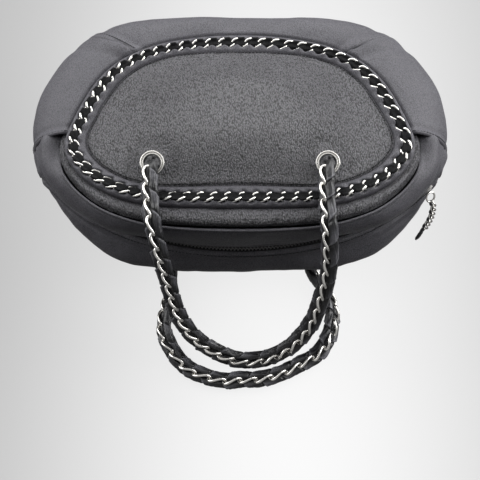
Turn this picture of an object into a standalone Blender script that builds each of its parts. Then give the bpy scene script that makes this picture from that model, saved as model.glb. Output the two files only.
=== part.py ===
"""Bowler bag, lying on its back: leather body, chain trims, zip and two chain handles.

Axes: +Z is up, +Y points to the base of the bag and -Y to its zip.
All lengths are in metres, and tables give shares of the named sizes.
"""
import math

import bmesh
import bpy
from mathutils import Matrix, Vector

# Body
bag_half_width = 0.190
bag_half_height = 0.112
bag_thickness = 0.150
face_rise = 0.021
flat_share = 0.25
base_flat_share = 0.99
leather_wall = 0.0016
lining_wall = 0.0008
lining_depth = 0.0056
lining_depth_at_zip = 0.0032
seam_gap = 0.0003
merge_distance = 0.00001

# Chain ring and piping on both faces
trim_half_width = 0.0048
trim_lace_half_width = 0.0058
trim_lace_wall = 0.0010
crescent_width = 0.0270
piping_radius = 0.0019
trim_link_count = 61
trim_wire_radius = 0.00095
trim_coil_rise = 0.0028

# Zip
zip_radius_share = 1.421
zip_radius = bag_half_width * zip_radius_share
zip_reach_share = 0.9464
zip_reach = bag_half_height * zip_reach_share
zip_half_angle = math.radians(41)
zip_channel_half = 0.0070
zip_tape_half = 0.0120
zip_tape_wall = 0.0006
zip_tooth_half = 0.0011
zip_tooth_step = 0.0036
zip_slit_half = 0.0007
slider_length = 0.0120
slider_width = 0.0095
slider_plate = 0.0014
pull_length = 0.0640
pull_ring_radius = 0.0046
pull_wire_radius = 0.0008
pull_link_count = 9
pull_tip_length = 0.0170
pull_tip_width = 0.0075
pull_tip_wall = 0.0030

# Eyelets and handles
eyelet_x_share = 0.3895
eyelet_x = bag_half_width * eyelet_x_share
eyelet_y_share = 0.4490
eyelet_y = bag_half_height * eyelet_y_share
eyelet_outer_radius = 0.0104
eyelet_inner_radius = 0.0074
eyelet_barrel_wall = 0.0007
eyelet_rise = 0.0015
eyelet_press = 0.0006
washer_wall = 0.0007
rope_radius = 0.0050
knot_radius = 0.0105
link_pitch = 0.0154
link_half_width = 0.0040
link_wire_radius = 0.0011
link_overlap = 0.0009

# Inside
board_share = 0.97
board_wall = 0.0020
pocket_wall = 0.0008
pocket_trim_share = 0.3

# Outline of the chain ring, from the zip side's middle to the base's middle
ring_shares = [
    (0.000, -0.705), (0.158, -0.704), (0.316, -0.696), (0.432, -0.674), (0.558, -0.607),
    (0.668, -0.491), (0.737, -0.348), (0.750, -0.223), (0.729, -0.098), (0.684, 0.089),
    (0.621, 0.286), (0.521, 0.455), (0.374, 0.571), (0.189, 0.629), (0.000, 0.643),
]
# Outline half way through the thickness, at the same stations
middle_shares = [
    (0.000, -0.982), (0.174, -0.982), (0.353, -0.973), (0.495, -0.946), (0.653, -0.875),
    (0.795, -0.705), (0.905, -0.500), (0.963, -0.268), (0.995, -0.054), (1.000, 0.179),
    (0.968, 0.429), (0.858, 0.714), (0.621, 0.946), (0.305, 1.000), (0.000, 1.000),
]
# How square the side is in section at each station
squareness = [4.5, 4.5, 4.4, 4.0, 3.4, 2.9, 2.4, 2.2, 2.1, 2.1, 2.2, 2.5, 3.2, 3.8, 4.0]
# Width of the crescent between chain ring and piping
crescent_shares = [1.0, 0.99, 0.97, 0.93, 0.87, 0.75, 0.62, 0.38, 0.28, 0.28, 0.28, 0.28,
                   0.28, 0.28, 0.28]
# How far the rear strip of the top bulges out below the zip
bulge_shares = [1.0, 1.0, 1.0, 0.9, 0.5, 0.2, 0.0, 0.0, 0.0, 0.0, 0.0, 0.0, 0.0, 0.0, 0.0]
rear_bulge = 0.006
recess_spread = 0.40
bulge_place = -0.55
bulge_spread = 0.30

# Heights of the rows round the sides and the base, above the middle of the thickness
side_row_shares = (0.88, 0.66, 0.36)
base_row_shares = (0.90, 0.72, 0.50)

half_count = len(ring_shares) - 1
full_turn = 2 + math.pi
mid_height = bag_thickness / 2
ring_rise = mid_height - face_rise
zip_centre_y = zip_radius - zip_reach
gusset_end = 8
crescent_end = 7
base_start = 11.5
pocket_start = 9
lining_face_rows = (flat_share, 0.5, 1.0)
station_gap = 0.02

# Handle routes: width and height shares of the bag, then share of the way up to the hinge
front_route_shares = [
    (-0.389, -0.449, 1.000), (-0.392, -0.530, 1.000), (-0.393, -0.635, 0.985),
    (-0.388, -0.772, 0.958), (-0.379, -0.920, 0.930), (-0.363, -1.045, 0.835),
    (-0.346, -1.140, 0.708), (-0.326, -1.243, 0.574), (-0.309, -1.336, 0.452),
    (-0.284, -1.428, 0.331), (-0.239, -1.515, 0.217), (-0.175, -1.587, 0.123),
    (-0.094, -1.643, 0.049), (0.000, -1.680, 0.000), (0.084, -1.680, 0.000),
    (0.167, -1.653, 0.036), (0.248, -1.592, 0.116), (0.310, -1.510, 0.224),
    (0.347, -1.428, 0.331), (0.371, -1.341, 0.445), (0.392, -1.239, 0.579),
    (0.400, -1.140, 0.708), (0.395, -1.045, 0.835), (0.387, -0.920, 0.930),
    (0.382, -0.772, 0.958), (0.379, -0.635, 0.985), (0.382, -0.530, 1.000),
    (0.389, -0.449, 1.000),
]
rear_route_shares = [
    (-0.389, -0.449, 1.000), (-0.382, -0.540, 0.800), (-0.366, -0.680, 0.000),
    (-0.342, -0.920, 0.000), (-0.348, -1.150, 0.000), (-0.368, -1.312, 0.000),
    (-0.368, -1.461, 0.000), (-0.332, -1.598, 0.000), (-0.263, -1.741, 0.000),
    (-0.179, -1.812, 0.000), (-0.082, -1.853, 0.000), (0.000, -1.848, 0.000),
    (0.100, -1.839, 0.000), (0.200, -1.795, 0.000), (0.295, -1.714, 0.000),
    (0.379, -1.625, 0.000), (0.432, -1.491, 0.000), (0.453, -1.348, 0.000),
    (0.447, -1.200, 0.000), (0.400, -1.050, 0.000), (0.352, -0.900, 0.000),
    (0.350, -0.700, 0.000), (0.376, -0.540, 0.800), (0.389, -0.449, 1.000),
]
# The zip pull's line from the slider: back along the zip, out, and down, in shares of its length
pull_shares = [(0.00, 0.00, 0.00), (0.03, 0.14, 0.18), (0.09, 0.26, 0.42), (0.17, 0.28, 0.70),
               (0.24, 0.24, 0.95)]
# Which way the chain faces on the rope, from the first hinge to the last
front_chain_facings = [(-1.0, 0.0, 0.7), (-1.0, -0.5, 0.5), (-0.4, -0.6, 0.7), (0.0, -0.5, 0.9),
                       (-0.3, -0.6, 0.7), (-1.0, -0.5, 0.5), (-1.0, 0.0, 0.7)]
rear_chain_facings = [(-1.0, 0.0, 0.0), (-1.0, 0.0, 0.1), (0.0, 0.0, 1.0), (0.0, 0.0, 1.0),
                      (0.0, 0.0, 1.0), (1.0, 0.0, 0.1), (1.0, 0.0, 0.0)]

# Finishes: colour, metallic and roughness
finishes = {
    "leather": ((0.012, 0.012, 0.013, 1.0), 0.0, 0.45),
    "silver": ((0.72, 0.71, 0.69, 1.0), 1.0, 0.18),
    "lining": ((0.02, 0.02, 0.022, 1.0), 0.0, 0.85),
    "tape": ((0.01, 0.01, 0.01, 1.0), 0.0, 0.90),
    "board": ((0.05, 0.045, 0.04, 1.0), 0.0, 0.80),
}


# Scene set-up

def clear_scene():
    for thing in list(bpy.data.objects):
        bpy.data.objects.remove(thing, do_unlink=True)


def new_collection(name):
    group = bpy.data.collections.new(name)
    bpy.context.scene.collection.children.link(group)
    return group


def paint(thing, finish):
    colour, metallic, roughness = finishes[finish]
    material = bpy.data.materials.new(thing.name + "_" + finish)
    material.use_nodes = True
    shader = material.node_tree.nodes["Principled BSDF"]
    shader.inputs["Base Color"].default_value = colour
    shader.inputs["Metallic"].default_value = metallic
    shader.inputs["Roughness"].default_value = roughness
    thing.data.materials.clear()
    thing.data.materials.append(material)


def add_object(name, mesh, group, finish=None, origin=None, smooth=True):
    """Put a mesh in a collection, with its origin on a joint where it has one."""
    thing = bpy.data.objects.new(name, mesh)
    group.objects.link(thing)
    if origin is not None:
        mesh.transform(Matrix.Translation(-origin))
        thing.location = origin
    for face in mesh.polygons:
        face.use_smooth = smooth
    if finish:
        paint(thing, finish)
    return thing


# The bag's surface

def clamp_smooth(share):
    share = min(max(share, 0.0), 1.0)
    return share * share * (3 - 2 * share)


def table_value(table, u):
    """Smooth value between the stations of a half table, mirrored about the middle."""
    first = math.floor(u)
    rest = u - first
    values = [mirrored(table, first + step) for step in (-1, 0, 1, 2)]
    weights = (
        (-rest + 2 * rest ** 2 - rest ** 3) / 2,
        (2 - 5 * rest ** 2 + 3 * rest ** 3) / 2,
        (rest + 4 * rest ** 2 - 3 * rest ** 3) / 2,
        (-rest ** 2 + rest ** 3) / 2,
    )
    return sum((value * weight for value, weight in zip(values, weights)), Vector((0, 0)))


def mirrored(table, place):
    place = (place + half_count) % (2 * half_count) - half_count
    entry = table[abs(place)]
    if not isinstance(entry, tuple):
        return Vector((entry, 0))
    return Vector((entry[0] if place >= 0 else -entry[0], entry[1]))


def ring_point(u):
    share = table_value(ring_shares, u)
    return Vector((share.x * bag_half_width, share.y * bag_half_height, 0))


def middle_point(u):
    share = table_value(middle_shares, u)
    return Vector((share.x * bag_half_width, share.y * bag_half_height, 0))


def zip_recess(u):
    """How far the zip's arc lies inside the side's own bulge at a station."""
    start = ring_point(u)
    ray = middle_point(u) - start
    if start.y + ray.y > 0:
        return 0.0
    way = ray.normalized()
    offset = start - Vector((0, zip_centre_y, 0))
    along = offset.dot(way)
    hit = -along + math.sqrt(along ** 2 + zip_radius ** 2 - offset.length_squared)
    return max(ray.length - hit, 0.0)


def surface(u, v):
    """A place on the outside: v runs from the front's middle, round the side, to the rear's."""
    ring = ring_point(u)
    if v <= 1 or v >= 1 + math.pi:
        reach = v if v <= 1 else full_turn - v
        drop = face_rise * clamp_smooth((reach - flat_share) / (1 - flat_share))
        height = bag_thickness - drop if v <= 1 else drop
        return Vector((ring.x * reach, ring.y * reach, height))
    out, up = math.sin(v - 1), math.cos(v - 1)
    square = table_value(squareness, u).x
    size = (out ** square + abs(up) ** square) ** (-1 / square)
    out, up = out * size, up * size
    ray = middle_point(u) - ring
    bulge = rear_bulge * table_value(bulge_shares, u).x
    push = (bulge * math.exp(-((up - bulge_place) / bulge_spread) ** 2)
            - zip_recess(u) * math.exp(-(up / recess_spread) ** 2))
    place = ring + ray * out + ray.normalized() * push
    place.y = min(place.y, bag_half_height * base_flat_share)
    place.z = mid_height + ring_rise * up
    return place


def skin(u, v, depth=0.0):
    """A place a given depth under the outside."""
    tick = 0.001
    place = surface(u, v)
    if depth == 0:
        return place
    across = surface(u + tick, v) - surface(u - tick, v)
    down = surface(u, v + tick) - surface(u, v - tick)
    return place - down.cross(across).normalized() * depth


def travel(u, v, distance):
    """The v that lies a distance further along the surface at a station."""
    tick = 0.001
    steps = 16
    for _ in range(steps):
        speed = (surface(u, v + tick) - surface(u, v - tick)).length / (2 * tick)
        v += distance / steps / speed
    return v


def height_row(height):
    """Row that runs a given height above the middle of the thickness."""
    share = abs(height) / ring_rise

    def row(u):
        square = table_value(squareness, u).x
        reach = (1 - share ** square) ** (1 / square)
        return 1 + math.atan2(reach, math.copysign(share, height))
    return row


def ring_row(distance):
    return lambda u: travel(u, 1.0, distance)


def piping_row(distance):
    return lambda u: travel(u, 1.0, crescent_width * table_value(crescent_shares, u).x + distance)


def face_row(share):
    return lambda u: share


def between(first, last, share):
    return lambda u: first(u) + (last(u) - first(u)) * share


def on_rear(row):
    return lambda u: full_turn - row(u)


def spread(first, last, step):
    count = round((last - first) / step)
    return [first + (last - first) * index / count for index in range(count + 1)]


def stations_between(first, last):
    """Both ends, and every half station between them, so that neighbours share their folds."""
    low = math.floor(first * 2) + 1
    high = math.ceil(last * 2) - 1
    return [first] + [half / 2 for half in range(low, high + 1)] + [last]


def sheet_mesh(name, stations, rows, depth_at, closed=False, missing=None, caps=()):
    """One layer of a piece, as a grid on the bag's surface."""
    mesh = bpy.data.meshes.new(name)
    width = len(rows)
    places = [skin(u, row(u), depth_at(u, step)) for u in stations for step, row in enumerate(rows)]
    count = len(stations)
    faces = []
    for index in range(count if closed else count - 1):
        here, there = index * width, (index + 1) % count * width
        for step in range(width - 1):
            if missing and missing(stations[index], step):
                continue
            faces.append((here + step, here + step + 1, there + step + 1, there + step))
    for cap in caps:
        loop = [index * width + cap for index in range(count)]
        faces.append(loop if cap == 0 else loop[::-1])
    mesh.from_pydata(places, [], faces)
    work = bmesh.new()
    work.from_mesh(mesh)
    loose = [vert for vert in work.verts if not vert.link_faces]
    bmesh.ops.delete(work, geom=loose, context="VERTS")
    work.to_mesh(mesh)
    work.free()
    return mesh


def thicken(thing, wall):
    modifier = thing.modifiers.new("wall", "SOLIDIFY")
    modifier.thickness = wall
    modifier.offset = -1
    modifier.use_even_offset = True


def hide_piece(name, group, stations, rows, depth=0.0, wall=leather_wall, finish="leather",
               **options):
    """A piece cut from a sheet: its outer layer, thickened inwards."""
    mesh = sheet_mesh(name, stations, rows, lambda u, step: depth, **options)
    thing = add_object(name, mesh, group, finish)
    thicken(thing, wall)
    return thing


# Round and swept shapes

def tube(name, group, points, radius, finish, radii=None, closed=False, fineness=1, origin=None):
    """A round cord along points, from a bevelled curve made into a mesh."""
    data = bpy.data.curves.new(name, "CURVE")
    data.dimensions = "3D"
    spline = data.splines.new("POLY")
    spline.points.add(len(points) - 1)
    for index, place in enumerate(points):
        spline.points[index].co = (*place, 1)
        spline.points[index].radius = radii[index] if radii else 1
    spline.use_cyclic_u = closed
    data.bevel_depth = radius
    data.bevel_resolution = fineness
    data.use_fill_caps = not closed
    curve = bpy.data.objects.new(name, data)
    group.objects.link(curve)
    bpy.context.view_layer.update()
    depsgraph = bpy.context.evaluated_depsgraph_get()
    mesh = bpy.data.meshes.new_from_object(curve.evaluated_get(depsgraph))
    bpy.data.objects.remove(curve, do_unlink=True)
    tidy_mesh(mesh)
    return add_object(name, mesh, group, finish, origin)


def tidy_mesh(mesh):
    work = bmesh.new()
    work.from_mesh(mesh)
    bmesh.ops.remove_doubles(work, verts=work.verts, dist=merge_distance)
    bmesh.ops.recalc_face_normals(work, faces=work.faces)
    work.to_mesh(mesh)
    work.free()


def turned(name, group, profile, steps, frame, finish, origin=None):
    """A round piece from a closed outline of radius and height, turned by a Screw modifier."""
    mesh = bpy.data.meshes.new(name)
    count = len(profile)
    edges = [(index, (index + 1) % count) for index in range(count)]
    mesh.from_pydata([(radius, 0, height) for radius, height in profile], edges, [])
    thing = bpy.data.objects.new(name, mesh)
    group.objects.link(thing)
    screw = thing.modifiers.new("turn", "SCREW")
    screw.axis = "Z"
    screw.steps = steps
    screw.render_steps = steps
    screw.use_merge_vertices = True
    screw.merge_threshold = merge_distance
    bpy.context.view_layer.update()
    depsgraph = bpy.context.evaluated_depsgraph_get()
    turned_mesh = bpy.data.meshes.new_from_object(thing.evaluated_get(depsgraph))
    bpy.data.objects.remove(thing, do_unlink=True)
    tidy_mesh(turned_mesh)
    turned_mesh.transform(frame)
    return add_object(name, turned_mesh, group, finish, origin)


def frame_at(place, up, forward):
    """Axes at a place: local Z along up, local X close to forward."""
    side = up.cross(forward).normalized()
    ahead = side.cross(up)
    frame = Matrix((ahead, side, up)).transposed().to_4x4()
    frame.translation = place
    return frame


def block_mesh(name, sizes, frame, bevel=0.0):
    """A block of full sizes along the frame's axes, with its edges rounded off."""
    work = bmesh.new()
    bmesh.ops.create_cube(work, size=1)
    bmesh.ops.scale(work, vec=sizes, verts=work.verts)
    if bevel:
        bmesh.ops.bevel(work, geom=work.edges, offset=bevel, segments=1, affect="EDGES")
    bmesh.ops.transform(work, matrix=frame, verts=work.verts)
    mesh = bpy.data.meshes.new(name)
    work.to_mesh(mesh)
    work.free()
    return mesh


def cylinder_mesh(name, radius, low, high, frame, segments=14):
    work = bmesh.new()
    bmesh.ops.create_cone(work, cap_ends=True, segments=segments, radius1=radius, radius2=radius,
                          depth=high - low)
    bmesh.ops.translate(work, vec=(0, 0, (high + low) / 2), verts=work.verts)
    bmesh.ops.transform(work, matrix=frame, verts=work.verts)
    mesh = bpy.data.meshes.new(name)
    work.to_mesh(mesh)
    work.free()
    return mesh


def cut(thing, mesh, cutters, name):
    """Take a shape out of a piece with a Boolean."""
    cutter = add_object(name, mesh, cutters)
    cutter.hide_render = True
    cutter.display_type = "WIRE"
    boolean = thing.modifiers.new(name, "BOOLEAN")
    boolean.operation = "DIFFERENCE"
    boolean.solver = "EXACT"
    boolean.object = cutter


def smooth_route(points, step):
    """Even points on a smooth curve through a route, with the length between them near step."""
    fine = []
    last = len(points) - 1
    for index in range(last):
        before = points[index - 1] if index else points[0] * 2 - points[1]
        after = points[index + 2] if index + 2 <= last else points[last] * 2 - points[last - 1]
        for part in range(12):
            rest = part / 12
            fine.append((before * (-rest + 2 * rest ** 2 - rest ** 3)
                         + points[index] * (2 - 5 * rest ** 2 + 3 * rest ** 3)
                         + points[index + 1] * (rest + 4 * rest ** 2 - 3 * rest ** 3)
                         + after * (-rest ** 2 + rest ** 3)) / 2)
    fine.append(points[last])
    lengths = [0.0]
    for first, second in zip(fine, fine[1:]):
        lengths.append(lengths[-1] + (second - first).length)
    count = max(round(lengths[-1] / step), 1)
    even = []
    index = 0
    for part in range(count + 1):
        goal = lengths[-1] * part / count
        while index < len(fine) - 2 and lengths[index + 1] < goal:
            index += 1
        rest = (goal - lengths[index]) / (lengths[index + 1] - lengths[index])
        even.append(fine[index].lerp(fine[index + 1], rest))
    return even


# Body pieces

def face_panel(name, group, rear):
    """One of the two domed face panels inside the chain ring."""
    edge = ring_row(-trim_half_width - seam_gap)
    rows = [face_row(flat_share), face_row(0.5), edge]
    if rear:
        rows = [on_rear(row) for row in reversed(rows)]
    return hide_piece(name, group, spread(0, 2 * half_count, 0.5)[:-1], rows, closed=True,
                      caps=(len(rows) - 1,) if rear else (0,))


def crescent(name, group, rear):
    """The crescent-shaped yoke between chain ring and piping, on the zip side."""
    inner = ring_row(trim_half_width + seam_gap)
    outer = piping_row(-piping_radius - seam_gap)
    rows = [inner, between(inner, outer, 0.5), outer]
    if rear:
        rows = [on_rear(row) for row in reversed(rows)]
    return hide_piece(name, group, spread(-crescent_end, crescent_end, 0.5), rows)


def piping(name, group, rear):
    row = piping_row(0.0)
    row = on_rear(row) if rear else row
    reach = crescent_end - 5 * station_gap
    points = [skin(u, row(u), 0.0) for u in stations_between(-reach, reach)]
    return tube(name, group, points, piping_radius, "leather")


def gusset_edge(u):
    """Where the top's strips begin: beside the piping, then beside the chain ring."""
    if abs(u) <= crescent_end:
        return piping_row(piping_radius + 2 * seam_gap)(u)
    return ring_row(trim_lace_half_width + seam_gap)(u)


def gusset_strip(name, group, rear):
    """One of the two strips of the top, between a face's piping and the zip."""
    lap = height_row(zip_tape_half)
    rows = [gusset_edge, between(gusset_edge, lap, 0.5), lap, height_row(zip_channel_half)]
    if rear:
        rows = [on_rear(row) for row in reversed(rows)]
    reach = gusset_end - station_gap
    return hide_piece(name, group, stations_between(-reach, reach), rows)


def wrap_rows(shares):
    """Rows of a piece that wraps from the front ring to the rear ring."""
    start = ring_row(trim_half_width + seam_gap)
    heights = [height_row(ring_rise * share) for share in shares]
    front = [start] + heights
    middle = [] if shares == base_row_shares else [height_row(0.0)]
    return front + middle + [on_rear(row) for row in reversed(front)]


def side_panel(name, group, right):
    first, last = gusset_end + station_gap, base_start - station_gap
    stations = stations_between(first, last) if right else stations_between(-last, -first)
    return hide_piece(name, group, stations, wrap_rows(side_row_shares))


def base_panel(group):
    first = base_start + station_gap
    stations = stations_between(first, 2 * half_count - first)
    return hide_piece("base_panel", group, stations, wrap_rows(base_row_shares))


def lining(group, cutters):
    """The loose inner bag, open along the zip."""
    mouth = height_row(zip_tape_half * 0.6)
    rows = [face_row(share) for share in lining_face_rows]
    rows += [height_row(ring_rise * 0.8), height_row(ring_rise * 0.4), mouth]
    rows += [on_rear(row) for row in reversed(rows)]
    middle = len(rows) // 2 - 1

    def missing(u, step):
        return step == middle and -crescent_end <= round(u) < crescent_end

    def depth_at(u, step):
        beside_zip = step in (middle, middle + 1) and abs(round(u)) <= crescent_end
        return lining_depth_at_zip if beside_zip else lining_depth
    stations = spread(-half_count, half_count, 1)[:-1]
    mesh = sheet_mesh("lining", stations, rows, depth_at, closed=True, missing=missing,
                      caps=(0, len(rows) - 1))
    thing = add_object("lining", mesh, group, "lining")
    thicken(thing, lining_wall)
    for side, rear, frame in eyelet_frames():
        hole = cylinder_mesh("hole", eyelet_outer_radius, -2 * lining_depth - knot_radius,
                             lining_depth, frame)
        cut(thing, hole, cutters, "lining_hole_" + rear + "_" + side)
    return thing


def base_board(group):
    depth = leather_wall + seam_gap + board_wall / 2
    place = Vector((0, bag_half_height * base_flat_share - depth, mid_height))
    frame = frame_at(place, Vector((0, 1, 0)), Vector((1, 0, 0)))
    flat_width = 2 * middle_point(half_count - 1).x
    flat_height = 2 * ring_rise * base_row_shares[-1]
    sizes = (flat_width * board_share, flat_height * board_share, board_wall)
    mesh = block_mesh("base_board", sizes, frame)
    return add_object("base_board", mesh, group, "board", smooth=False)


def inner_pocket(group):
    """A patch pocket on the lower half of the rear lining, with a scooped top edge."""
    depth = lining_depth + lining_wall + seam_gap
    places = []
    stations = spread(pocket_start, 2 * half_count - pocket_start, 1)
    for u in stations:
        marks = [skin(u, full_turn - share, depth) for share in lining_face_rows]
        places.append(marks[0].lerp(marks[1], pocket_trim_share))
        places.append(marks[1])
        places.append(marks[2].lerp(marks[1], pocket_trim_share))
    faces = []
    for column in range(len(stations) - 1):
        for row in range(2):
            corner = column * 3 + row
            faces.append((corner, corner + 3, corner + 4, corner + 1))
    mesh = bpy.data.meshes.new("inner_pocket")
    mesh.from_pydata(places, [], faces)
    thing = add_object("inner_pocket", mesh, group, "lining")
    thicken(thing, pocket_wall)
    return thing


# Chain trims

def trim_lace(name, group, rear):
    depth = leather_wall + seam_gap
    rows = [ring_row(-trim_lace_half_width), ring_row(trim_lace_half_width)]
    if rear:
        rows = [on_rear(row) for row in reversed(rows)]
    return hide_piece(name, group, spread(0, 2 * half_count, 0.5)[:-1], rows, depth,
                      trim_lace_wall, closed=True)


def ring_stations(count):
    """Stations at even distances round the chain ring."""
    fine = spread(0, 2 * half_count, 0.05)
    lengths = [0.0]
    for first, second in zip(fine, fine[1:]):
        lengths.append(lengths[-1] + (ring_point(second) - ring_point(first)).length)
    stations = []
    index = 0
    for part in range(count):
        goal = lengths[-1] * part / count
        while lengths[index + 1] < goal:
            index += 1
        rest = (goal - lengths[index]) / (lengths[index + 1] - lengths[index])
        stations.append(fine[index] + (fine[index + 1] - fine[index]) * rest)
    return stations


def chain_trim(name, group, rear):
    """The flat chain of the ring: each link crosses the lace on top and returns below."""
    half = trim_half_width - trim_wire_radius - seam_gap
    low = leather_wall - trim_wire_radius
    high = low - trim_coil_rise
    points = []
    corners = ((-half, high), (half, high), (half, low), (-half, low))
    for index, u in enumerate(ring_stations(4 * trim_link_count)):
        aside, depth = corners[index % 4]
        v = travel(u, 1.0, aside)
        points.append(skin(u, full_turn - v if rear else v, depth))
    return tube(name, group, points, trim_wire_radius, "silver", closed=True, fineness=0)


# Eyelets

def station_toward(x, y):
    """The station whose ring point lies in the direction of a place."""
    goal = math.atan2(abs(x), -y)
    low, high = 0.0, float(half_count)
    for _ in range(40):
        middle = (low + high) / 2
        ring = ring_point(middle)
        if math.atan2(ring.x, -ring.y) < goal:
            low = middle
        else:
            high = middle
    return math.copysign(low, x)


def eyelet_frames():
    """Side, face and frame of each eyelet, with local Z pointing out of the bag."""
    frames = []
    for side, x in (("left", -eyelet_x), ("right", eyelet_x)):
        u = station_toward(x, -eyelet_y)
        reach = math.hypot(x, eyelet_y) / ring_point(u).length
        for rear in ("front", "rear"):
            v = reach if rear == "front" else full_turn - reach
            place = skin(u, v)
            up = (place - skin(u, v, leather_wall)).normalized()
            frames.append((side, rear, frame_at(place, up, Vector((1, 0, 0)))))
    return frames


def eyelets(group, cutters, panels):
    """Metal eyelets pressed into both face panels, each with its washer inside."""
    barrel = eyelet_inner_radius + eyelet_barrel_wall
    low = -leather_wall - eyelet_press - seam_gap - washer_wall
    middle = (eyelet_inner_radius + eyelet_outer_radius) / 2
    rim = [(eyelet_inner_radius, low), (eyelet_inner_radius, eyelet_rise * 0.5),
           (middle, eyelet_rise), (eyelet_outer_radius, -eyelet_press * 0.3),
           (eyelet_outer_radius * 0.97, -eyelet_press), (barrel, -eyelet_press), (barrel, low)]
    washer_top = -leather_wall - seam_gap
    washer = [(barrel + seam_gap, washer_top - washer_wall), (eyelet_outer_radius, washer_top
              - washer_wall), (eyelet_outer_radius, washer_top), (barrel + seam_gap, washer_top)]
    for side, rear, frame in eyelet_frames():
        name = rear + "_" + side
        turned("eyelet_" + name, group, rim, 14, frame, "silver")
        turned("washer_" + name, group, washer, 12, frame, "silver")
        hole = cylinder_mesh("hole", barrel + seam_gap, -2 * lining_depth, lining_depth, frame)
        cut(panels[rear], hole, cutters, "eyelet_hole_" + name)
        seat = cylinder_mesh("seat", eyelet_outer_radius + seam_gap, -eyelet_press - seam_gap,
                             lining_depth, frame)
        cut(panels[rear], seat, cutters, "eyelet_seat_" + name)


# Handles

def hinge_place(rear):
    """Middle of a handle's hinge axis, a rope's radius above the eyelets."""
    heights = [frame.translation.z for side, face, frame in eyelet_frames() if face == "front"]
    lift = rope_radius + eyelet_rise + 2 * seam_gap
    height = heights[0] + lift
    return Vector((0, -eyelet_y, bag_thickness - height if rear else height))


def handle_points(rear):
    hinge = hinge_place(rear)
    lie = rope_radius + seam_gap
    shares = rear_route_shares if rear else front_route_shares
    points = [Vector((x * bag_half_width, y * bag_half_height, lie + share * (hinge.z - lie)))
              for x, y, share in shares]
    points[0] = Vector((-eyelet_x, hinge.y, hinge.z))
    points[-1] = Vector((eyelet_x, hinge.y, hinge.z))
    return points


def handle_rope(name, group, rear):
    """The leather rope of a handle, with round ends on the hinge axis."""
    points = smooth_route(handle_points(rear), rope_radius * 2.6)
    first = (points[0] - points[1]).normalized()
    last = (points[-1] - points[-2]).normalized()
    ends = ((0.5, 0.86), (0.86, 0.5))
    head = [points[0] + first * rope_radius * reach for reach, _ in reversed(ends)]
    tail = [points[-1] + last * rope_radius * reach for reach, _ in ends]
    radii = [size for _, size in reversed(ends)] + [1] * len(points) + [size for _, size in ends]
    return tube(name, group, head + points + tail, rope_radius, "leather", radii=radii,
                origin=hinge_place(rear))


def link_mesh(half_length, half_width, wire):
    """One oval link, from a torus pulled long."""
    bpy.ops.mesh.primitive_torus_add(major_segments=6, minor_segments=3, major_radius=1,
                                     minor_radius=wire / half_width, rotation=(0, 0, 0))
    ring = bpy.context.object
    mesh = ring.data.copy()
    bpy.data.objects.remove(ring, do_unlink=True)
    mesh.transform(Matrix.Diagonal((half_length, half_width, half_width, 1)))
    return mesh


def chain(name, group, frames, half_length, half_width, wire, origin):
    """Links at frames, fused where each meets the next: even and odd links united."""
    link = link_mesh(half_length, half_width, wire)
    halves = []
    for odd in (0, 1):
        work = bmesh.new()
        for frame in frames[odd::2]:
            before = len(work.verts)
            work.from_mesh(link)
            work.verts.ensure_lookup_table()
            bmesh.ops.transform(work, matrix=frame, verts=work.verts[before:])
        mesh = bpy.data.meshes.new(name)
        work.to_mesh(mesh)
        work.free()
        halves.append(bpy.data.objects.new(name + "_half", mesh))
        group.objects.link(halves[-1])
    union = halves[0].modifiers.new("union", "BOOLEAN")
    union.operation = "UNION"
    union.solver = "EXACT"
    union.object = halves[1]
    bpy.context.view_layer.update()
    depsgraph = bpy.context.evaluated_depsgraph_get()
    joined = bpy.data.meshes.new_from_object(halves[0].evaluated_get(depsgraph))
    for half in halves:
        bpy.data.objects.remove(half, do_unlink=True)
    tidy_mesh(joined)
    return add_object(name, joined, group, "silver", origin, smooth=False)


def facing_at(facings, share):
    place = share * (len(facings) - 1)
    index = min(int(place), len(facings) - 2)
    return Vector(facings[index]).lerp(Vector(facings[index + 1]), place - index)


def handle_chain(name, group, rear):
    """The chain laced along one side of a handle's rope."""
    offset = rope_radius + link_wire_radius + seam_gap + link_half_width * 0.22
    facings = rear_chain_facings if rear else front_chain_facings
    centre = smooth_route(handle_points(rear), link_pitch / 2)
    beside = []
    for index in range(2, len(centre) - 2):
        tangent = (centre[index + 1] - centre[index - 1]).normalized()
        facing = facing_at(facings, index / (len(centre) - 1))
        beside.append(centre[index] + (facing - tangent * facing.dot(tangent)).normalized() * offset)
    route = smooth_route(beside, link_pitch)
    half_pitch = (route[1] - route[0]).length / 2
    frames = []
    for index in range(len(route) - 1):
        middle = (route[index] + route[index + 1]) / 2
        tangent = (route[index + 1] - route[index]).normalized()
        facing = facing_at(facings, (index + 1.5) / (len(route) + 2))
        facing = (facing - tangent * facing.dot(tangent)).normalized()
        lean = Matrix.Rotation(math.radians(10 if index % 2 else -10), 4, "X")
        frames.append(frame_at(middle, facing, tangent) @ lean)
    half_length = (half_pitch + link_overlap) / (1 + link_wire_radius / link_half_width)
    return chain(name, group, frames, half_length, link_half_width, link_wire_radius,
                 hinge_place(rear))


def handle_ends(group):
    """The rope's fixed ends: a stub through each eyelet, and the knot that stops it inside."""
    for side, rear, frame in eyelet_frames():
        place = frame.translation
        hinge = hinge_place(rear == "rear")
        up = frame.to_3x3() @ Vector((0, 0, 1))
        ball = Vector((place.x, hinge.y, hinge.z))
        top = (ball - place).dot(up) - rope_radius - seam_gap
        knot = -lining_depth - lining_wall - 2 * seam_gap
        stub = eyelet_inner_radius - seam_gap
        profile = [(0, knot - knot_radius * 1.5), (knot_radius * 0.7, knot - knot_radius * 1.3),
                   (knot_radius, knot - knot_radius * 0.7), (knot_radius * 0.8, knot),
                   (stub, knot), (stub, top * 0.6), (stub * 0.6, top), (0, top)]
        turned_solid("handle_end_" + rear + "_" + side, group, profile, 10, frame, "leather")


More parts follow.
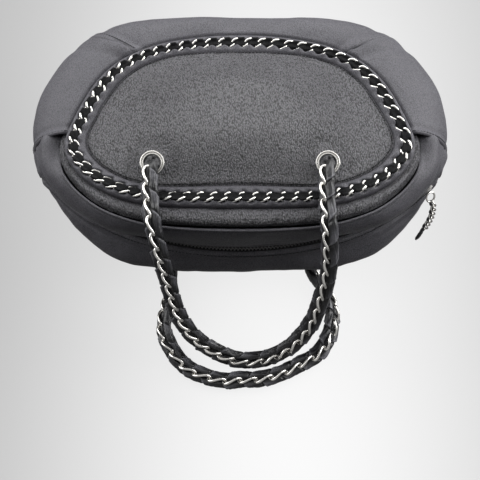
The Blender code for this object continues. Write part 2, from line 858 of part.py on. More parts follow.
def turned_solid(name, group, profile, steps, frame, finish, origin=None):
    """A round solid from an outline whose two ends lie on the axis."""
    work = bmesh.new()
    verts = [work.verts.new((radius, 0, height)) for radius, height in profile]
    edges = [work.edges.new(pair) for pair in zip(verts, verts[1:])]
    bmesh.ops.spin(work, geom=verts + edges, cent=(0, 0, 0), axis=(0, 0, 1),
                   angle=math.tau, steps=steps, use_merge=True)
    bmesh.ops.remove_doubles(work, verts=work.verts, dist=merge_distance)
    bmesh.ops.recalc_face_normals(work, faces=work.faces)
    bmesh.ops.transform(work, matrix=frame, verts=work.verts)
    mesh = bpy.data.meshes.new(name)
    work.to_mesh(mesh)
    work.free()
    return add_object(name, mesh, group, finish, origin)


# Zip

def zip_frame(angle, outward=0.0):
    """Axes on the zip's arc: X along the zip, Y up, Z out of the bag."""
    out = Vector((math.sin(angle), -math.cos(angle), 0))
    along = Vector((math.cos(angle), math.sin(angle), 0))
    place = Vector((0, zip_centre_y, mid_height)) + out * (zip_radius + outward)
    return frame_at(place, out, along)


def zip_tape(name, group, rear):
    depth = leather_wall + seam_gap
    rows = [height_row(zip_tape_half * 0.97), height_row(zip_channel_half),
            height_row(zip_slit_half + 2 * zip_tooth_half + seam_gap)]
    if rear:
        rows = [on_rear(row) for row in reversed(rows)]
    return hide_piece(name, group, spread(-7.5, 7.5, 0.5), rows, depth, zip_tape_wall, "tape")


def zip_teeth(name, group, rear):
    """One row of teeth: a bar on the arc whose width steps in and out."""
    count = round(2 * zip_half_angle * zip_radius / zip_tooth_step / 2) * 2
    way = -1 if rear else 1
    aside = way * (zip_slit_half + zip_tooth_half)
    depth = -leather_wall * 0.9
    points = []
    radii = []
    for index in range(0, count + 1, 2):
        angle = zip_half_angle * (2 * index / count - 1)
        frame = zip_frame(angle, depth)
        place = frame.translation
        place.z += aside
        points.append(place)
        radii.append(1 if index % 4 else 0.72)
    return tube(name, group, points, zip_tooth_half, "silver", radii=radii, fineness=0)


def zip_tab(name, group, right):
    """The folded leather tab that covers an end of the zip."""
    height = zip_channel_half - 2 * seam_gap
    rows = [height_row(height), height_row(height * 0.4), height_row(-height * 0.4),
            height_row(-height)]
    first, last = crescent_end + 2 * station_gap, gusset_end - station_gap
    stations = stations_between(first, last) if right else stations_between(-last, -first)
    return hide_piece(name, group, stations, rows, -leather_wall * 0.6, leather_wall * 1.5)


def slider_heights():
    """How far the plates' middles and the loop's size reach from the middle of the teeth."""
    return zip_tooth_half + 2 * seam_gap + slider_plate / 2, slider_plate * 1.6


def zip_slider(group):
    """Two plates joined by a blade between the rows of teeth, with a loop for the ring."""
    axis = Vector((0, zip_centre_y, mid_height))
    angle = zip_half_angle - slider_length / zip_radius
    work_frame = zip_frame(angle, -leather_wall * 0.9)
    apart, loop_height = slider_heights()
    parts = []
    for way in (1, -1):
        shift = Matrix.Translation((0, 0, way * apart))
        parts.append(block_mesh("plate", (slider_length, slider_width, slider_plate),
                                work_frame @ shift, slider_plate * 0.3))
    blade = block_mesh("blade", (slider_length * 0.3, zip_slit_half, 2 * apart), work_frame)
    parts.append(blade)
    loop = block_mesh("loop", (slider_length * 0.55, slider_plate * 1.4, loop_height),
                      work_frame @ Matrix.Translation((0, 0, apart + loop_height * 0.6)))
    parts.append(loop)
    return unite("zip_slider", group, parts, "silver", axis)


def unite(name, group, parts, finish, origin):
    """Fuse overlapping blocks into one body."""
    objects = []
    for mesh in parts:
        objects.append(bpy.data.objects.new(name + "_part", mesh))
        group.objects.link(objects[-1])
    for other in objects[1:]:
        union = objects[0].modifiers.new("union", "BOOLEAN")
        union.operation = "UNION"
        union.solver = "EXACT"
        union.object = other
    bpy.context.view_layer.update()
    depsgraph = bpy.context.evaluated_depsgraph_get()
    joined = bpy.data.meshes.new_from_object(objects[0].evaluated_get(depsgraph))
    for thing in objects:
        bpy.data.objects.remove(thing, do_unlink=True)
    tidy_mesh(joined)
    return add_object(name, joined, group, finish, origin, smooth=False)


def pull_axis():
    """Where the pull's ring hangs on the slider's loop."""
    angle = zip_half_angle - slider_length / zip_radius
    apart, loop_height = slider_heights()
    out = apart + loop_height * 1.1 - leather_wall * 0.9
    return zip_frame(angle, out + pull_wire_radius + seam_gap)


def pull_points():
    """The pull's line: out over the swell below the zip, down, and a little back along the zip."""
    frame = pull_axis()
    out = frame.to_3x3() @ Vector((0, 0, 1))
    along = frame.to_3x3() @ Vector((1, 0, 0))
    down = Vector((0, 0, -1))
    top = frame.translation
    return [top + (out * aside - along * back + down * drop) * pull_length
            for back, aside, drop in pull_shares]


def zip_pull(group):
    """Ring, chain and leather tip that hang from the slider."""
    origin = pull_axis().translation
    route = smooth_route(pull_points(), pull_length / 24)
    down = (route[3] - route[0]).normalized()
    out = pull_axis().to_3x3() @ Vector((0, 0, 1))
    ring_centre = route[0] + down * pull_ring_radius
    points = []
    for step in range(12):
        turn = math.tau * step / 12
        points.append(ring_centre + down * math.cos(turn) * pull_ring_radius
                      + out.cross(down).normalized() * math.sin(turn) * pull_ring_radius)
    tube("zip_ring", group, points, pull_wire_radius, "silver", closed=True, fineness=0,
         origin=origin)
    start = 2 * pull_ring_radius + pull_wire_radius + seam_gap
    length = (len(route) - 1) * (route[1] - route[0]).length
    pitch = (length - start - pull_tip_length) / pull_link_count
    frames = []
    for index in range(pull_link_count):
        place, tangent = along_route(route, start + pitch * (index + 0.5))
        lean = Matrix.Rotation(math.radians(35 if index % 2 else -35), 4, "X")
        frames.append(frame_at(place, (out - tangent * out.dot(tangent)).normalized(), tangent)
                      @ lean)
    half_width = pull_tip_width * 0.32
    half_length = (pitch / 2 + link_overlap / 2) / (1 + pull_wire_radius / half_width)
    chain("zip_pull_chain", group, frames, half_length, half_width, pull_wire_radius, origin)
    place, tangent = along_route(route, length - pull_tip_length / 2 + 2 * seam_gap)
    frame = frame_at(place, (out - tangent * out.dot(tangent)).normalized(), tangent)
    mesh = block_mesh("zip_pull_leather", (pull_tip_length - 4 * seam_gap, pull_tip_width,
                                           pull_tip_wall), frame, pull_tip_wall * 0.3)
    add_object("zip_pull_leather", mesh, group, "leather", origin)


def along_route(route, distance):
    for first, second in zip(route, route[1:]):
        step = (second - first).length
        if distance <= step:
            return first.lerp(second, distance / step), (second - first).normalized()
        distance -= step
    tangent = (route[-1] - route[-2]).normalized()
    return route[-1] + tangent * distance, tangent


def build():
    clear_scene()
    group = new_collection("bowler_bag")
    cutters = new_collection("cutters")
    panels = {}
    for rear, word in ((False, "front"), (True, "rear")):
        panels[word] = face_panel(word + "_panel", group, rear)
        crescent(word + "_yoke", group, rear)
        piping(word + "_piping", group, rear)
        gusset_strip("top_strip_" + word, group, rear)
        trim_lace(word + "_trim_lace", group, rear)
        chain_trim(word + "_chain_trim", group, rear)
        handle_rope(word + "_handle_rope", group, rear)
        handle_chain(word + "_handle_chain", group, rear)
        zip_tape("zip_tape_" + word, group, rear)
        zip_teeth("zip_teeth_" + word, group, rear)
    for right, word in ((False, "left"), (True, "right")):
        side_panel("side_panel_" + word, group, right)
        zip_tab("zip_tab_" + word, group, right)
    base_panel(group)
    base_board(group)
    lining(group, cutters)
    inner_pocket(group)
    eyelets(group, cutters, panels)
    handle_ends(group)
    zip_slider(group)
    zip_pull(group)


build()
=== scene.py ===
# %% [markdown]
# # A bowler bag in black leather and chain
# The CAD part is the frame of this scene. It gives the size, the joints and the place of each piece.
# This script dresses it: every leather piece is cut again as a fine, soft sheet on the bag's own
# surface. The chains, the plaited handles, the zip and the eyelets get their real forms.

import math

import bpy
import numpy as np
from mathutils import Matrix, Vector


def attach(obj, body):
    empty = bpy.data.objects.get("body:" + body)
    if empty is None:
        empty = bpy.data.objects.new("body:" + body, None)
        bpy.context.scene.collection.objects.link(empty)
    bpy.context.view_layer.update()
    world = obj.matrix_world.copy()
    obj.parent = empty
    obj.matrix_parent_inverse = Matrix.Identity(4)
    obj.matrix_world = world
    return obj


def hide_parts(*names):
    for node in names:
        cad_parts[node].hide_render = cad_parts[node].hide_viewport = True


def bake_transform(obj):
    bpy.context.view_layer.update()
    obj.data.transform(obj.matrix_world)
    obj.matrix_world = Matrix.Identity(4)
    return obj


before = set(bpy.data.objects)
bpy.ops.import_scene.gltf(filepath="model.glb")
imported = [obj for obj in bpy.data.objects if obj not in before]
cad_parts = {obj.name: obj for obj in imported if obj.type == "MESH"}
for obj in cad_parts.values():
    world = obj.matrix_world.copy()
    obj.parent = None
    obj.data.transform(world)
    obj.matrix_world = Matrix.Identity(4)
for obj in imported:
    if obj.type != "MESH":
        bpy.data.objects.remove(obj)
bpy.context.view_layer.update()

# %% [markdown]
# ## The camera
# The bag lies on its back, and the photographer stands at its zip side and looks down on it.
# The picture shows a little of the zip side, so the camera leans 21 degrees away from straight down.
# A long lens nine tenths of a metre away keeps the two eyelets almost round.

# %% Camera
camera_lean = math.radians(21)
camera_data = bpy.data.cameras.new("camera")
camera_data.lens = 67.5
camera_data.sensor_width = 36
camera = bpy.data.objects.new("camera", camera_data)
bpy.context.scene.collection.objects.link(camera)
camera.location = (0, -0.3828, 0.8202)
camera.rotation_euler = (camera_lean, 0, 0)
bpy.context.scene.camera = camera
print("camera at", tuple(round(value, 3) for value in camera.location))

# %% [markdown]
# ## Colours
# Hex colours are written as the eye sees them on a screen, and the shader wants them linear.
# One function does that turn for every colour in the file.

# %% Colour
def colour(code):
    """A hex colour such as 1a1a1c as linear red, green, blue and alpha."""
    values = [int(code[start:start + 2], 16) / 255 for start in (0, 2, 4)]
    return [v / 12.92 if v <= 0.04045 else ((v + 0.055) / 1.055) ** 2.4 for v in values] + [1]


def add_node(tree, kind, links=(), values=(), **settings):
    """One shader node. Values fill inputs by number, and settings fill inputs or set the node."""
    node = tree.nodes.new(kind)
    for place, value in dict(values).items():
        node.inputs[place].default_value = value
    for name, value in settings.items():
        if hasattr(node, name):
            setattr(node, name, value)
        else:
            node.inputs[name.replace("_", " ")].default_value = value
    for source, output, target in links:
        tree.links.new(source.outputs[output], node.inputs[target])
    return node


def new_material(name, code, metallic, roughness, specular=0.5):
    """A material, its node tree, and the Principled shader that patterns are linked to."""
    material = bpy.data.materials.new(name)
    material.use_nodes = True
    shader = material.node_tree.nodes["Principled BSDF"]
    shader.inputs["Base Color"].default_value = colour(code)
    shader.inputs["Metallic"].default_value = metallic
    shader.inputs["Roughness"].default_value = roughness
    shader.inputs["Specular IOR Level"].default_value = specular
    return material, material.node_tree, shader


print("a mid grey is", round(colour("808080")[0], 3), "in linear light")

# %% [markdown]
# ## Leather
# The bag's leather is drum-dyed lambskin, rolled to raise its grain: small soft pebbles about 1.4 mm
# across, with fine creases between them, all drawn out a little along the hide. The pebbles catch
# light on their crowns and stay dark between, which is why black leather looks grey and sparkling
# where it faces the lamp. The dark between the pebbles is also painted into the colour, as painted
# shade. A Voronoi texture gives the pebbles and a noise breaks them up, so no two look alike. One
# function makes all four leathers, from the size and depth of their grain.

# %% Leather
mm = 0.001
hide_draw = (1.5, 0.65, 1)  # the grain is closer across the bag and longer towards its base
patch_size = 45 * mm  # the dye takes a little unevenly, over patches of this size
# The painted crease shade begins at the first of these heights and is full at the second.
crown_height, crease_height = 0.68, 1.22  # the pattern's height on a pebble and in a crease


def cell_scale(size):
    """Texture scale for a pattern whose repeat is a size in metres."""
    return 1 / size


def leather(name, pebble, depth, roughness, base, high, valley, shine):
    """Dyed leather: base to high over the patches, and the valley colour between the pebbles as
    painted shade.
    """
    material, tree, shader = new_material(name, base, 0, roughness, shine)
    place = add_node(tree, "ShaderNodeTexCoord")
    drawn = add_node(tree, "ShaderNodeVectorMath", [(place, "Object", 0)], {1: hide_draw},
                     operation="MULTIPLY")
    warp = add_node(tree, "ShaderNodeTexNoise", [(place, "Object", "Vector")],
                    Scale=cell_scale(pebble * 2.2), Detail=3)
    bent = add_node(tree, "ShaderNodeMix", [(drawn, "Vector", 6), (warp, "Color", 7)],
                    {"Factor": pebble * 0.55}, data_type="RGBA", blend_type="LINEAR_LIGHT")
    pebbles = add_node(tree, "ShaderNodeTexVoronoi", [(bent, 2, "Vector")], feature="SMOOTH_F1",
                       Scale=cell_scale(pebble), Smoothness=0.6)
    fine = add_node(tree, "ShaderNodeTexNoise", [(drawn, "Vector", "Vector")],
                    Scale=cell_scale(pebble * 0.45), Detail=5, Roughness=0.65)
    height = add_node(tree, "ShaderNodeMath", [(pebbles, "Distance", 0), (fine, "Fac", 1)],
                      operation="ADD")
    bump = add_node(tree, "ShaderNodeBump", [(height, "Value", "Height")], Distance=depth,
                    Strength=1.0, invert=True)
    tree.links.new(bump.outputs["Normal"], shader.inputs["Normal"])
    patches = add_node(tree, "ShaderNodeTexNoise", [(place, "Object", "Vector")],
                       Scale=cell_scale(patch_size), Detail=4)
    tone = add_node(tree, "ShaderNodeMix", [(patches, "Fac", "Factor")],
                    {6: colour(base), 7: colour(high)}, data_type="RGBA")
    # Painted shade: where the pattern is high, in the creases between the pebbles, the colour turns to
    # the valley tone.
    painted_light_mask = add_node(tree, "ShaderNodeMapRange", [(height, "Value", "Value")],
                    From_Min=crown_height, From_Max=crease_height)
    grain = add_node(tree, "ShaderNodeMix", [(painted_light_mask, "Result", "Factor"), (tone, 2, 6)],
                     {7: colour(valley)}, data_type="RGBA")
    tree.links.new(grain.outputs[2], shader.inputs["Base Color"])
    gloss = add_node(tree, "ShaderNodeMapRange", [(pebbles, "Distance", "Value")],
                     To_Min=roughness - 0.08, To_Max=roughness + 0.16)
    tree.links.new(gloss.outputs["Result"], shader.inputs["Roughness"])
    return material


# The faces and crescents: rolled and glazed, so each pebble has a small highlight. Their grey tones,
# far lighter than black dye, hold a painted sheen besides the dye.
grained_leather = leather("lambskin_pebbled", 1.35 * mm, 1.7 * mm, 0.32,
                          "646368", "7f7e83", "18181a", 0.55)
# The sides, base and strips: plated smooth under a hot press, with a dull, even sheen. Their grey
# tones also hold a painted sheen besides the black dye.
side_leather = leather("lambskin_smooth", 0.9 * mm, 0.25 * mm, 0.40,
                       "545358", "67666c", "424145", 0.24)
# The straps and tabs: cut, folded and waxed, so darker and glossier.
lace_leather = leather("lambskin_strap", 1.2 * mm, 0.3 * mm, 0.28,
                       "2e2e31", "4c4c50", "111112", 0.45)
# The lace of the rings: dyed through and left raw, so without gloss. Its near-black colour is the
# dye and also painted shade of the deep channel between the lips.
tie_leather_painted_shade = leather("lambskin_tie_painted_shade", 1.2 * mm, 0.15 * mm, 0.60,
                      "0e0e10", "161618", "080809", 0.12)
print("leathers:", grained_leather.name, side_leather.name, lace_leather.name, tie_leather_painted_shade.name)

# %% [markdown]
# ## Metal, tape and thread
# The chain is steel wire, bent and welded, then plated with nickel and polished, which makes it
# bright and slightly warm. The zip is brass with a dark gunmetal plating.
# The wear is fine: a noise of 0.8 mm moves the roughness a little, as polish marks do.
# The zip's tape is woven polyester, the lining is cotton, the thread is bonded nylon, and the board in
# the base is pressed fibre. All four get a fine pattern of crossed waves and no gloss.

# %% Metal
polish_mark = 0.8 * mm


def polished_metal(name, code, roughness):
    """A plated and polished metal, with faint marks in its gloss."""
    material, tree, shader = new_material(name, code, 1, roughness)
    place = add_node(tree, "ShaderNodeTexCoord")
    marks = add_node(tree, "ShaderNodeTexNoise", [(place, "Object", "Vector")],
                     Scale=cell_scale(polish_mark), Detail=4)
    gloss = add_node(tree, "ShaderNodeMapRange", [(marks, "Fac", "Value")],
                     To_Min=roughness * 0.8, To_Max=roughness * 1.2)
    tree.links.new(gloss.outputs["Result"], shader.inputs["Roughness"])
    return material


nickel = polished_metal("nickel_plated_steel", "d3d1cd", 0.20)
gunmetal = polished_metal("zip_gunmetal", "626160", 0.34)
wave_turn = 20  # radians that a wave texture of scale 1 turns in a metre


def woven(name, code, thread):
    """Cloth: two sets of waves across each other, one rib to about six threads."""
    material, tree, shader = new_material(name, code, 0, 0.85, 0.3)
    place = add_node(tree, "ShaderNodeTexCoord")
    waves = [add_node(tree, "ShaderNodeTexWave", [(place, "Object", "Vector")],
                      bands_direction=way, Scale=cell_scale(thread) / wave_turn)
             for way in ("X", "Z")]
    weave = add_node(tree, "ShaderNodeMath", [(waves[0], "Fac", 0), (waves[1], "Fac", 1)],
                     operation="MULTIPLY")
    bump = add_node(tree, "ShaderNodeBump", [(weave, "Value", "Height")], Distance=0.1 * mm)
    tree.links.new(bump.outputs["Normal"], shader.inputs["Normal"])
    return material


tape_weave = woven("polyester_tape", "0e0e0f", 0.6 * mm)
lining_weave = woven("cotton_lining", "131315", 0.5 * mm)
thread_nylon = woven("nylon_thread", "101011", 0.3 * mm)
fibre_board = woven("fibre_board", "3c3832", 1.2 * mm)
print("metal and cloth:", nickel.name, tape_weave.name)

# %% [markdown]
# ## The bag's surface
# The pattern pieces of the bag all lie on one soft shape. Two numbers name each place on it:
# u counts stations round the chain ring, from the middle of the zip side (0) to the middle of the
# base (14), and v runs from the middle of the front face (0) over the ring (1) and round the side.
# The shape is the CAD part's own, worked out for whole arrays of places at once. Its outlines are
# tables of x and y at stations 0 to 14, as shares of half the bag's width and height.

# %% Outlines
half_width, half_height, thickness = 0.190, 0.112, 0.150
face_rise, flat_share = 0.021, 0.25  # how far a face is domed, and how much of it is flat
base_flat = 0.99 * half_height  # the base is flat at this y
stations, base_station = 28, 14
mid_height = thickness / 2
ring_rise = mid_height - face_rise
full_turn = 2 + math.pi  # v at the middle of the rear face
zip_radius, zip_reach = 0.26999, 0.105997  # the zip runs on an arc
zip_centre_y = zip_radius - zip_reach
ring_shares = np.array([
    (0, -0.705), (0.158, -0.704), (0.316, -0.696), (0.432, -0.674), (0.558, -0.607),
    (0.668, -0.491), (0.737, -0.348), (0.75, -0.223), (0.729, -0.098), (0.684, 0.089),
    (0.621, 0.286), (0.521, 0.455), (0.374, 0.571), (0.189, 0.629), (0, 0.643)])
middle_shares = np.array([
    (0, -0.982), (0.174, -0.982), (0.353, -0.973), (0.495, -0.946), (0.653, -0.875),
    (0.795, -0.705), (0.905, -0.5), (0.963, -0.268), (0.995, -0.054), (1, 0.179),
    (0.968, 0.429), (0.858, 0.714), (0.621, 0.946), (0.305, 1), (0, 1)])
squareness = np.array([4.5, 4.5, 4.4, 4.0, 3.4, 2.9, 2.4, 2.2, 2.1, 2.1, 2.2, 2.5, 3.2, 3.8, 4.0])
crescent_shares = np.array([1.08, 1.06, 1.01, 0.94, 0.87, 0.76, 0.65, 0.57, 0.50, 0.28, 0.28, 0.28,
                            0.28, 0.28, 0.28])
bulge_shares = np.array([1, 1, 1, 0.9, 0.5, 0.2, 0, 0, 0, 0, 0, 0, 0, 0, 0.0])
scale_xy = np.array([half_width, half_height])
swell_out, swell_at, swell_wide = 0.006, -0.55, 0.30  # the leather bulges on the zip side's low half
groove_wide = 0.40  # the part of the side that the zip draws in


def spline_weights(t):
    """How much each of four neighbours counts, on a smooth curve between the middle two."""
    return ((-t + 2 * t ** 2 - t ** 3) / 2, (2 - 5 * t ** 2 + 3 * t ** 3) / 2,
            (t + 4 * t ** 2 - 3 * t ** 3) / 2, (-t ** 2 + t ** 3) / 2)


def blend_table(table, u):
    """Smooth values between the stations of a half table, mirrored about the bag's middle."""
    table = np.asarray(table, float)
    u = np.asarray(u, float)
    first = np.floor(u).astype(int)
    total = 0
    for step, weight in zip((-1, 0, 1, 2), spline_weights(u - first)):
        place = (first + step + base_station) % stations - base_station
        value = table[np.abs(place)]
        if table.ndim == 2:
            value = value * np.stack([np.where(place < 0, -1.0, 1.0), np.ones(place.shape)], -1)
            weight = weight[..., None]
        total = total + value * weight
    return total


print("the ring reaches", (np.abs(ring_shares).max(0) * scale_xy).round(4), "from the middle")

# %% [markdown]
# The side of the bag is a rounded square in section. Towards the zip it is squarer, and the zip
# itself sits in a groove: the leather of the top swells on both sides of it.

# %% Surface
def smooth_step(share):
    """A soft rise from 0 to 1, as a share goes from 0 to 1."""
    share = np.clip(share, 0, 1)
    return share * share * (3 - 2 * share)


def ridge(x, centre, width):
    """A soft bump across x, one high at its centre."""
    return np.exp(-((x - centre) / width) ** 2)


def surface(u, v):
    """Places on the outside of the bag, in metres."""
    u, v = np.broadcast_arrays(np.asarray(u, float), np.asarray(v, float))
    ring = blend_table(ring_shares, u) * scale_xy
    middle = blend_table(middle_shares, u) * scale_xy
    ray = middle - ring
    length = np.linalg.norm(ray, axis=-1)
    way = ray / length[..., None]
    offset = ring - np.array([0, zip_centre_y])
    along = (offset * way).sum(-1)
    hit = -along + np.sqrt(np.maximum(along ** 2 + zip_radius ** 2 - (offset ** 2).sum(-1), 0))
    recess = np.where(ring[..., 1] + ray[..., 1] > 0, 0, np.maximum(length - hit, 0))
    angle = np.clip(v - 1, 0, math.pi)
    out, up = np.sin(angle), np.cos(angle)
    square = blend_table(squareness, u)
    size = (np.abs(out) ** square + np.abs(up) ** square) ** (-1 / square)
    out, up = out * size, up * size
    push = (swell_out * blend_table(bulge_shares, u) * ridge(up, swell_at, swell_wide)
            - recess * ridge(up, 0, groove_wide))
    side = ring + ray * out[..., None] + way * push[..., None]
    side_y = np.minimum(side[..., 1], base_flat)
    reach = np.where(v <= 1, v, full_turn - v)
    on_face = (v <= 1) | (v >= 1 + math.pi)
    drop = face_rise * smooth_step((reach - flat_share) / (1 - flat_share))
    face_z = np.where(v <= 1, thickness - drop, drop)
    return np.stack([np.where(on_face, ring[..., 0] * reach, side[..., 0]),
                     np.where(on_face, ring[..., 1] * reach, side_y),
                     np.where(on_face, face_z, mid_height + ring_rise * up)], -1)


def outward(u, v):
    """Unit normals of the surface, pointing out of the bag."""
    tick = 0.004
    v = np.clip(v, 3 * tick, full_turn - 3 * tick)
    across = surface(u + tick, v) - surface(u - tick, v)
    down = surface(u, v + tick) - surface(u, v - tick)
    normal = np.cross(across, down)
    return -normal / np.linalg.norm(normal, axis=-1, keepdims=True)


print("middle of the front face at", surface(0, 0).round(4), "normal", outward(5, 0.6).round(2))

# %% [markdown]
# ## Measuring on the surface
# A maker marks seams on the leather with a ruler. So one tool walks a distance along the surface from
# a line that is already known, and another finds the line at a height on the side. A third gives the
# places that stand a little above the surface or sink below it.

# %% Measures
def skin(u, v, lift=0.0):
    """Places a lift above the surface."""
    u, v = np.broadcast_arrays(np.asarray(u, float), np.asarray(v, float))
    return surface(u, v) + outward(u, v) * np.asarray(lift)[..., None]


def travel(u, v, distance):
    """The v that lies a distance further along the surface at each station."""
    u, v, distance = np.broadcast_arrays(np.asarray(u, float), np.asarray(v, float),
                                         np.asarray(distance, float))
    steps, tick = 24, 0.001
    for _ in range(steps):
        speed = np.linalg.norm(surface(u, v + tick) - surface(u, v - tick), axis=-1) / (2 * tick)
        v = v + distance / steps / speed
    return v


def height_row(u, height):
    """The v that runs at a height above the middle of the bag's thickness."""
    square = blend_table(squareness, u)
    share = np.abs(height) / ring_rise
    reach = (1 - share ** square) ** (1 / square)
    return 1 + np.arctan2(reach, np.sign(height) * share + 1e-9)


print("20 mm beyond the ring, in the middle of the zip side, v is",
      round(float(travel(0, 1.0, 20 * mm)), 3))

# %% [markdown]
# ## Tools for any mesh
# Four small tools serve every piece: one selects it, one turns its modifiers into mesh, one merges
# its doubled points and turns its faces outwards, and one reads its vertices.

# %% Mesh tools
def only(thing):
    """Select and activate one object."""
    bpy.ops.object.select_all(action="DESELECT")
    thing.select_set(True)
    bpy.context.view_layer.objects.active = thing


def apply_modifiers(thing):
    """Turn a piece's modifiers into mesh."""
    only(thing)
    for modifier in list(thing.modifiers):
        bpy.ops.object.modifier_apply(modifier=modifier.name)


def clean(thing, gap, turn_out=True):
    """Merge the points closer than a gap, and turn the faces outwards."""
    only(thing)
    bpy.ops.object.mode_set(mode="EDIT")
    bpy.ops.mesh.select_all(action="SELECT")
    bpy.ops.mesh.remove_doubles(threshold=gap)
    if turn_out:
        bpy.ops.mesh.normals_make_consistent(inside=False)
    bpy.ops.object.mode_set(mode="OBJECT")


def points_of(thing):
    """A piece's vertices, as rows of x, y and z."""
    flat = np.empty(len(thing.data.vertices) * 3)
    thing.data.vertices.foreach_get("co", flat)
    return flat.reshape(-1, 3)


print("the board in the base has", len(points_of(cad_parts["base_board"])), "points")

# %% [markdown]
# ## Swells and creases
# Real leather is never even. A lattice of random values, smoothed between its points, gives each
# piece its swells and creases. The seeds are fixed, so every run makes the same bag.

# %% Soft noise
def soft_noise(places, size, seed):
    """Smooth random values from -1 to 1 in space, with swells of about a size."""
    count = 32
    lattice = np.random.default_rng(seed).random((count, count, count)) * 2 - 1
    cell = places / size
    base = np.floor(cell).astype(int)
    rest = smooth_step(cell - base)
    total = 0
    for corner in range(8):
        pick = np.array([corner & 1, corner >> 1 & 1, corner >> 2 & 1])
        weight = np.prod(np.where(pick, rest, 1 - rest), -1)
        index = (base + pick) % count
        total = total + lattice[index[..., 0], index[..., 1], index[..., 2]] * weight
    return total


print("noise at the middle of the face:", soft_noise(surface(0, 0), 10 * mm, 1).round(3))

# %% [markdown]
# ## Cutting and placing a leather piece
# A piece starts as Blender's grid, one vertex for every step round and across the pattern piece.
# Each vertex is then laid on the bag's surface with a lift of its own, which holds the folds.
# Solidify gives the sheet its thickness. A piece that goes all the way round is closed by merging
# its first and last columns.

# %% Grid pieces
leather_wall = 1.4 * mm


def grid_piece(name, places, material, wall=0.0, closed=False, crown=None):
    """A grid laid on an array of places, columns by rows, and thickened inwards."""
    columns, rows = places.shape[:2]
    bpy.ops.mesh.primitive_grid_add(x_subdivisions=columns - 1, y_subdivisions=rows - 1, size=2)
    thing = bpy.context.object
    thing.name = name
    flat = points_of(thing)
    column = np.rint((flat[:, 0] + 1) / 2 * (columns - 1)).astype(int)
    row = np.rint((flat[:, 1] + 1) / 2 * (rows - 1)).astype(int)
    thing.data.vertices.foreach_set("co", places[column, row].ravel())
    # The crown attribute holds a painted highlight for the shader to mix in.
    if crown is not None:
        painted_light_mask = thing.data.attributes.new("crown", "FLOAT", "POINT")
        painted_light_mask.data.foreach_set("value", crown[column, row].astype(np.float32))
    thing.data.update()
    if closed:
        clean(thing, 0.02 * mm, turn_out=crown is not None)
    thing.data.materials.append(material)
    bpy.ops.object.shade_smooth()
    if wall:
        solid = thing.modifiers.new("wall", "SOLIDIFY")
        solid.thickness = wall
        solid.offset = -1
        apply_modifiers(thing)
    return thing


def laid(name, u, v, lift, material, wall=leather_wall, closed=False, rear=False):
    """A leather piece on the bag: columns follow u and rows follow v."""
    u = np.broadcast_to(np.asarray(u, float)[:, None], v.shape)
    places = skin(u, full_turn - v if rear else v, np.broadcast_to(lift, v.shape))
    return grid_piece(name, places if rear else places[::-1], material, wall, closed)


print("the leather is", round(leather_wall / mm, 1), "mm thick")

# %% [markdown]
# ## Cords and wires
# A cord, a wire and a stitch are a curve with a round bevel, made into a mesh. The curve's points are
# spread evenly first, so that the bevel doesn't crowd where the points of a table are close.

# %% Cords
def run_along(line):
    """Distances along a line, from its first point."""
    return np.concatenate([[0], np.cumsum(np.linalg.norm(np.diff(line, axis=0), axis=1))])


def read_line(goals, run, line):
    """Places on a line, at distances along it."""
    return np.stack([np.interp(goals, run, line[:, axis]) for axis in range(3)], -1)


def even_line(points, step, closed=False):
    """The same line with its points a step apart."""
    if closed:
        points = np.vstack([points, points[:1]])
    run = run_along(points)
    count = max(round(run[-1] / step), 2)
    even = read_line(np.linspace(0, run[-1], count + 1), run, points)
    return even[:-1] if closed else even


def smooth_line(points, step):
    """Even points on a smooth curve through the given ones."""
    points = np.asarray(points, float)
    padded = np.vstack([2 * points[0] - points[1], points, 2 * points[-1] - points[-2]])
    weights = spline_weights(np.linspace(0, 1, 24, endpoint=False)[:, None])
    parts = [sum(point * weight for point, weight in zip(four, weights))
             for four in zip(padded, padded[1:], padded[2:], padded[3:])]
    return even_line(np.vstack(parts + [points[-1:]]), step)


def wire(name, points, radius, material, closed=False, fineness=3):
    """A round cord along points, made into a mesh."""
    data = bpy.data.curves.new(name, "CURVE")
    data.dimensions = "3D"
    spline = data.splines.new("POLY")
    spline.points.add(len(points) - 1)
    flat = np.ones((len(points), 4))
    flat[:, :3] = points
    spline.points.foreach_set("co", flat.ravel())
    spline.use_cyclic_u = closed
    data.bevel_depth = radius
    data.bevel_resolution = fineness
    data.use_fill_caps = not closed
    thing = bpy.data.objects.new(name, data)
    bpy.context.scene.collection.objects.link(thing)
    only(thing)
    bpy.ops.object.convert(target="MESH")
    thing = bpy.context.object
    clean(thing, 0.01 * mm)
    thing.data.materials.append(material)
    bpy.ops.object.shade_smooth()
    return thing


print("a square corner, smoothed, is a line of",
      len(smooth_line([(0, 0, 0), (1, 0, 0), (1, 1, 0)], 0.1)), "points")

# %% [markdown]
# ## Copies and turned parts
# A part that repeats, such as a link, is modelled once at the origin. Every copy gets its own mesh,
# set down by axes of its own, and the copies are joined into one piece. Turned metal is an outline
# that the Screw modifier carries once round its axis.

# %% Copies
def axes_at(place, along, up):
    """Axes with X along a line and Z close to up."""
    along = Vector(along).normalized()
    side = Vector(up).cross(along).normalized()
    axes = Matrix((along, side, along.cross(side))).transposed().to_4x4()
    axes.translation = Vector(place)
    return axes


def joined(things, name):
    """Several objects as one piece."""
    bpy.ops.object.select_all(action="DESELECT")
    for thing in things:
        thing.select_set(True)
    bpy.context.view_layer.objects.active = things[0]
    bpy.ops.object.join()
    things[0].name = name
    return things[0]


def copies(template, spots, name):
    """Copies of one object at many spots, joined into one piece."""
    made = []
    for spot in spots:
        copy = bpy.data.objects.new(name, template.data.copy())
        copy.data.transform(spot)
        bpy.context.scene.collection.objects.link(copy)
        made.append(copy)
    bpy.data.objects.remove(template, do_unlink=True)
    return joined(made, name)


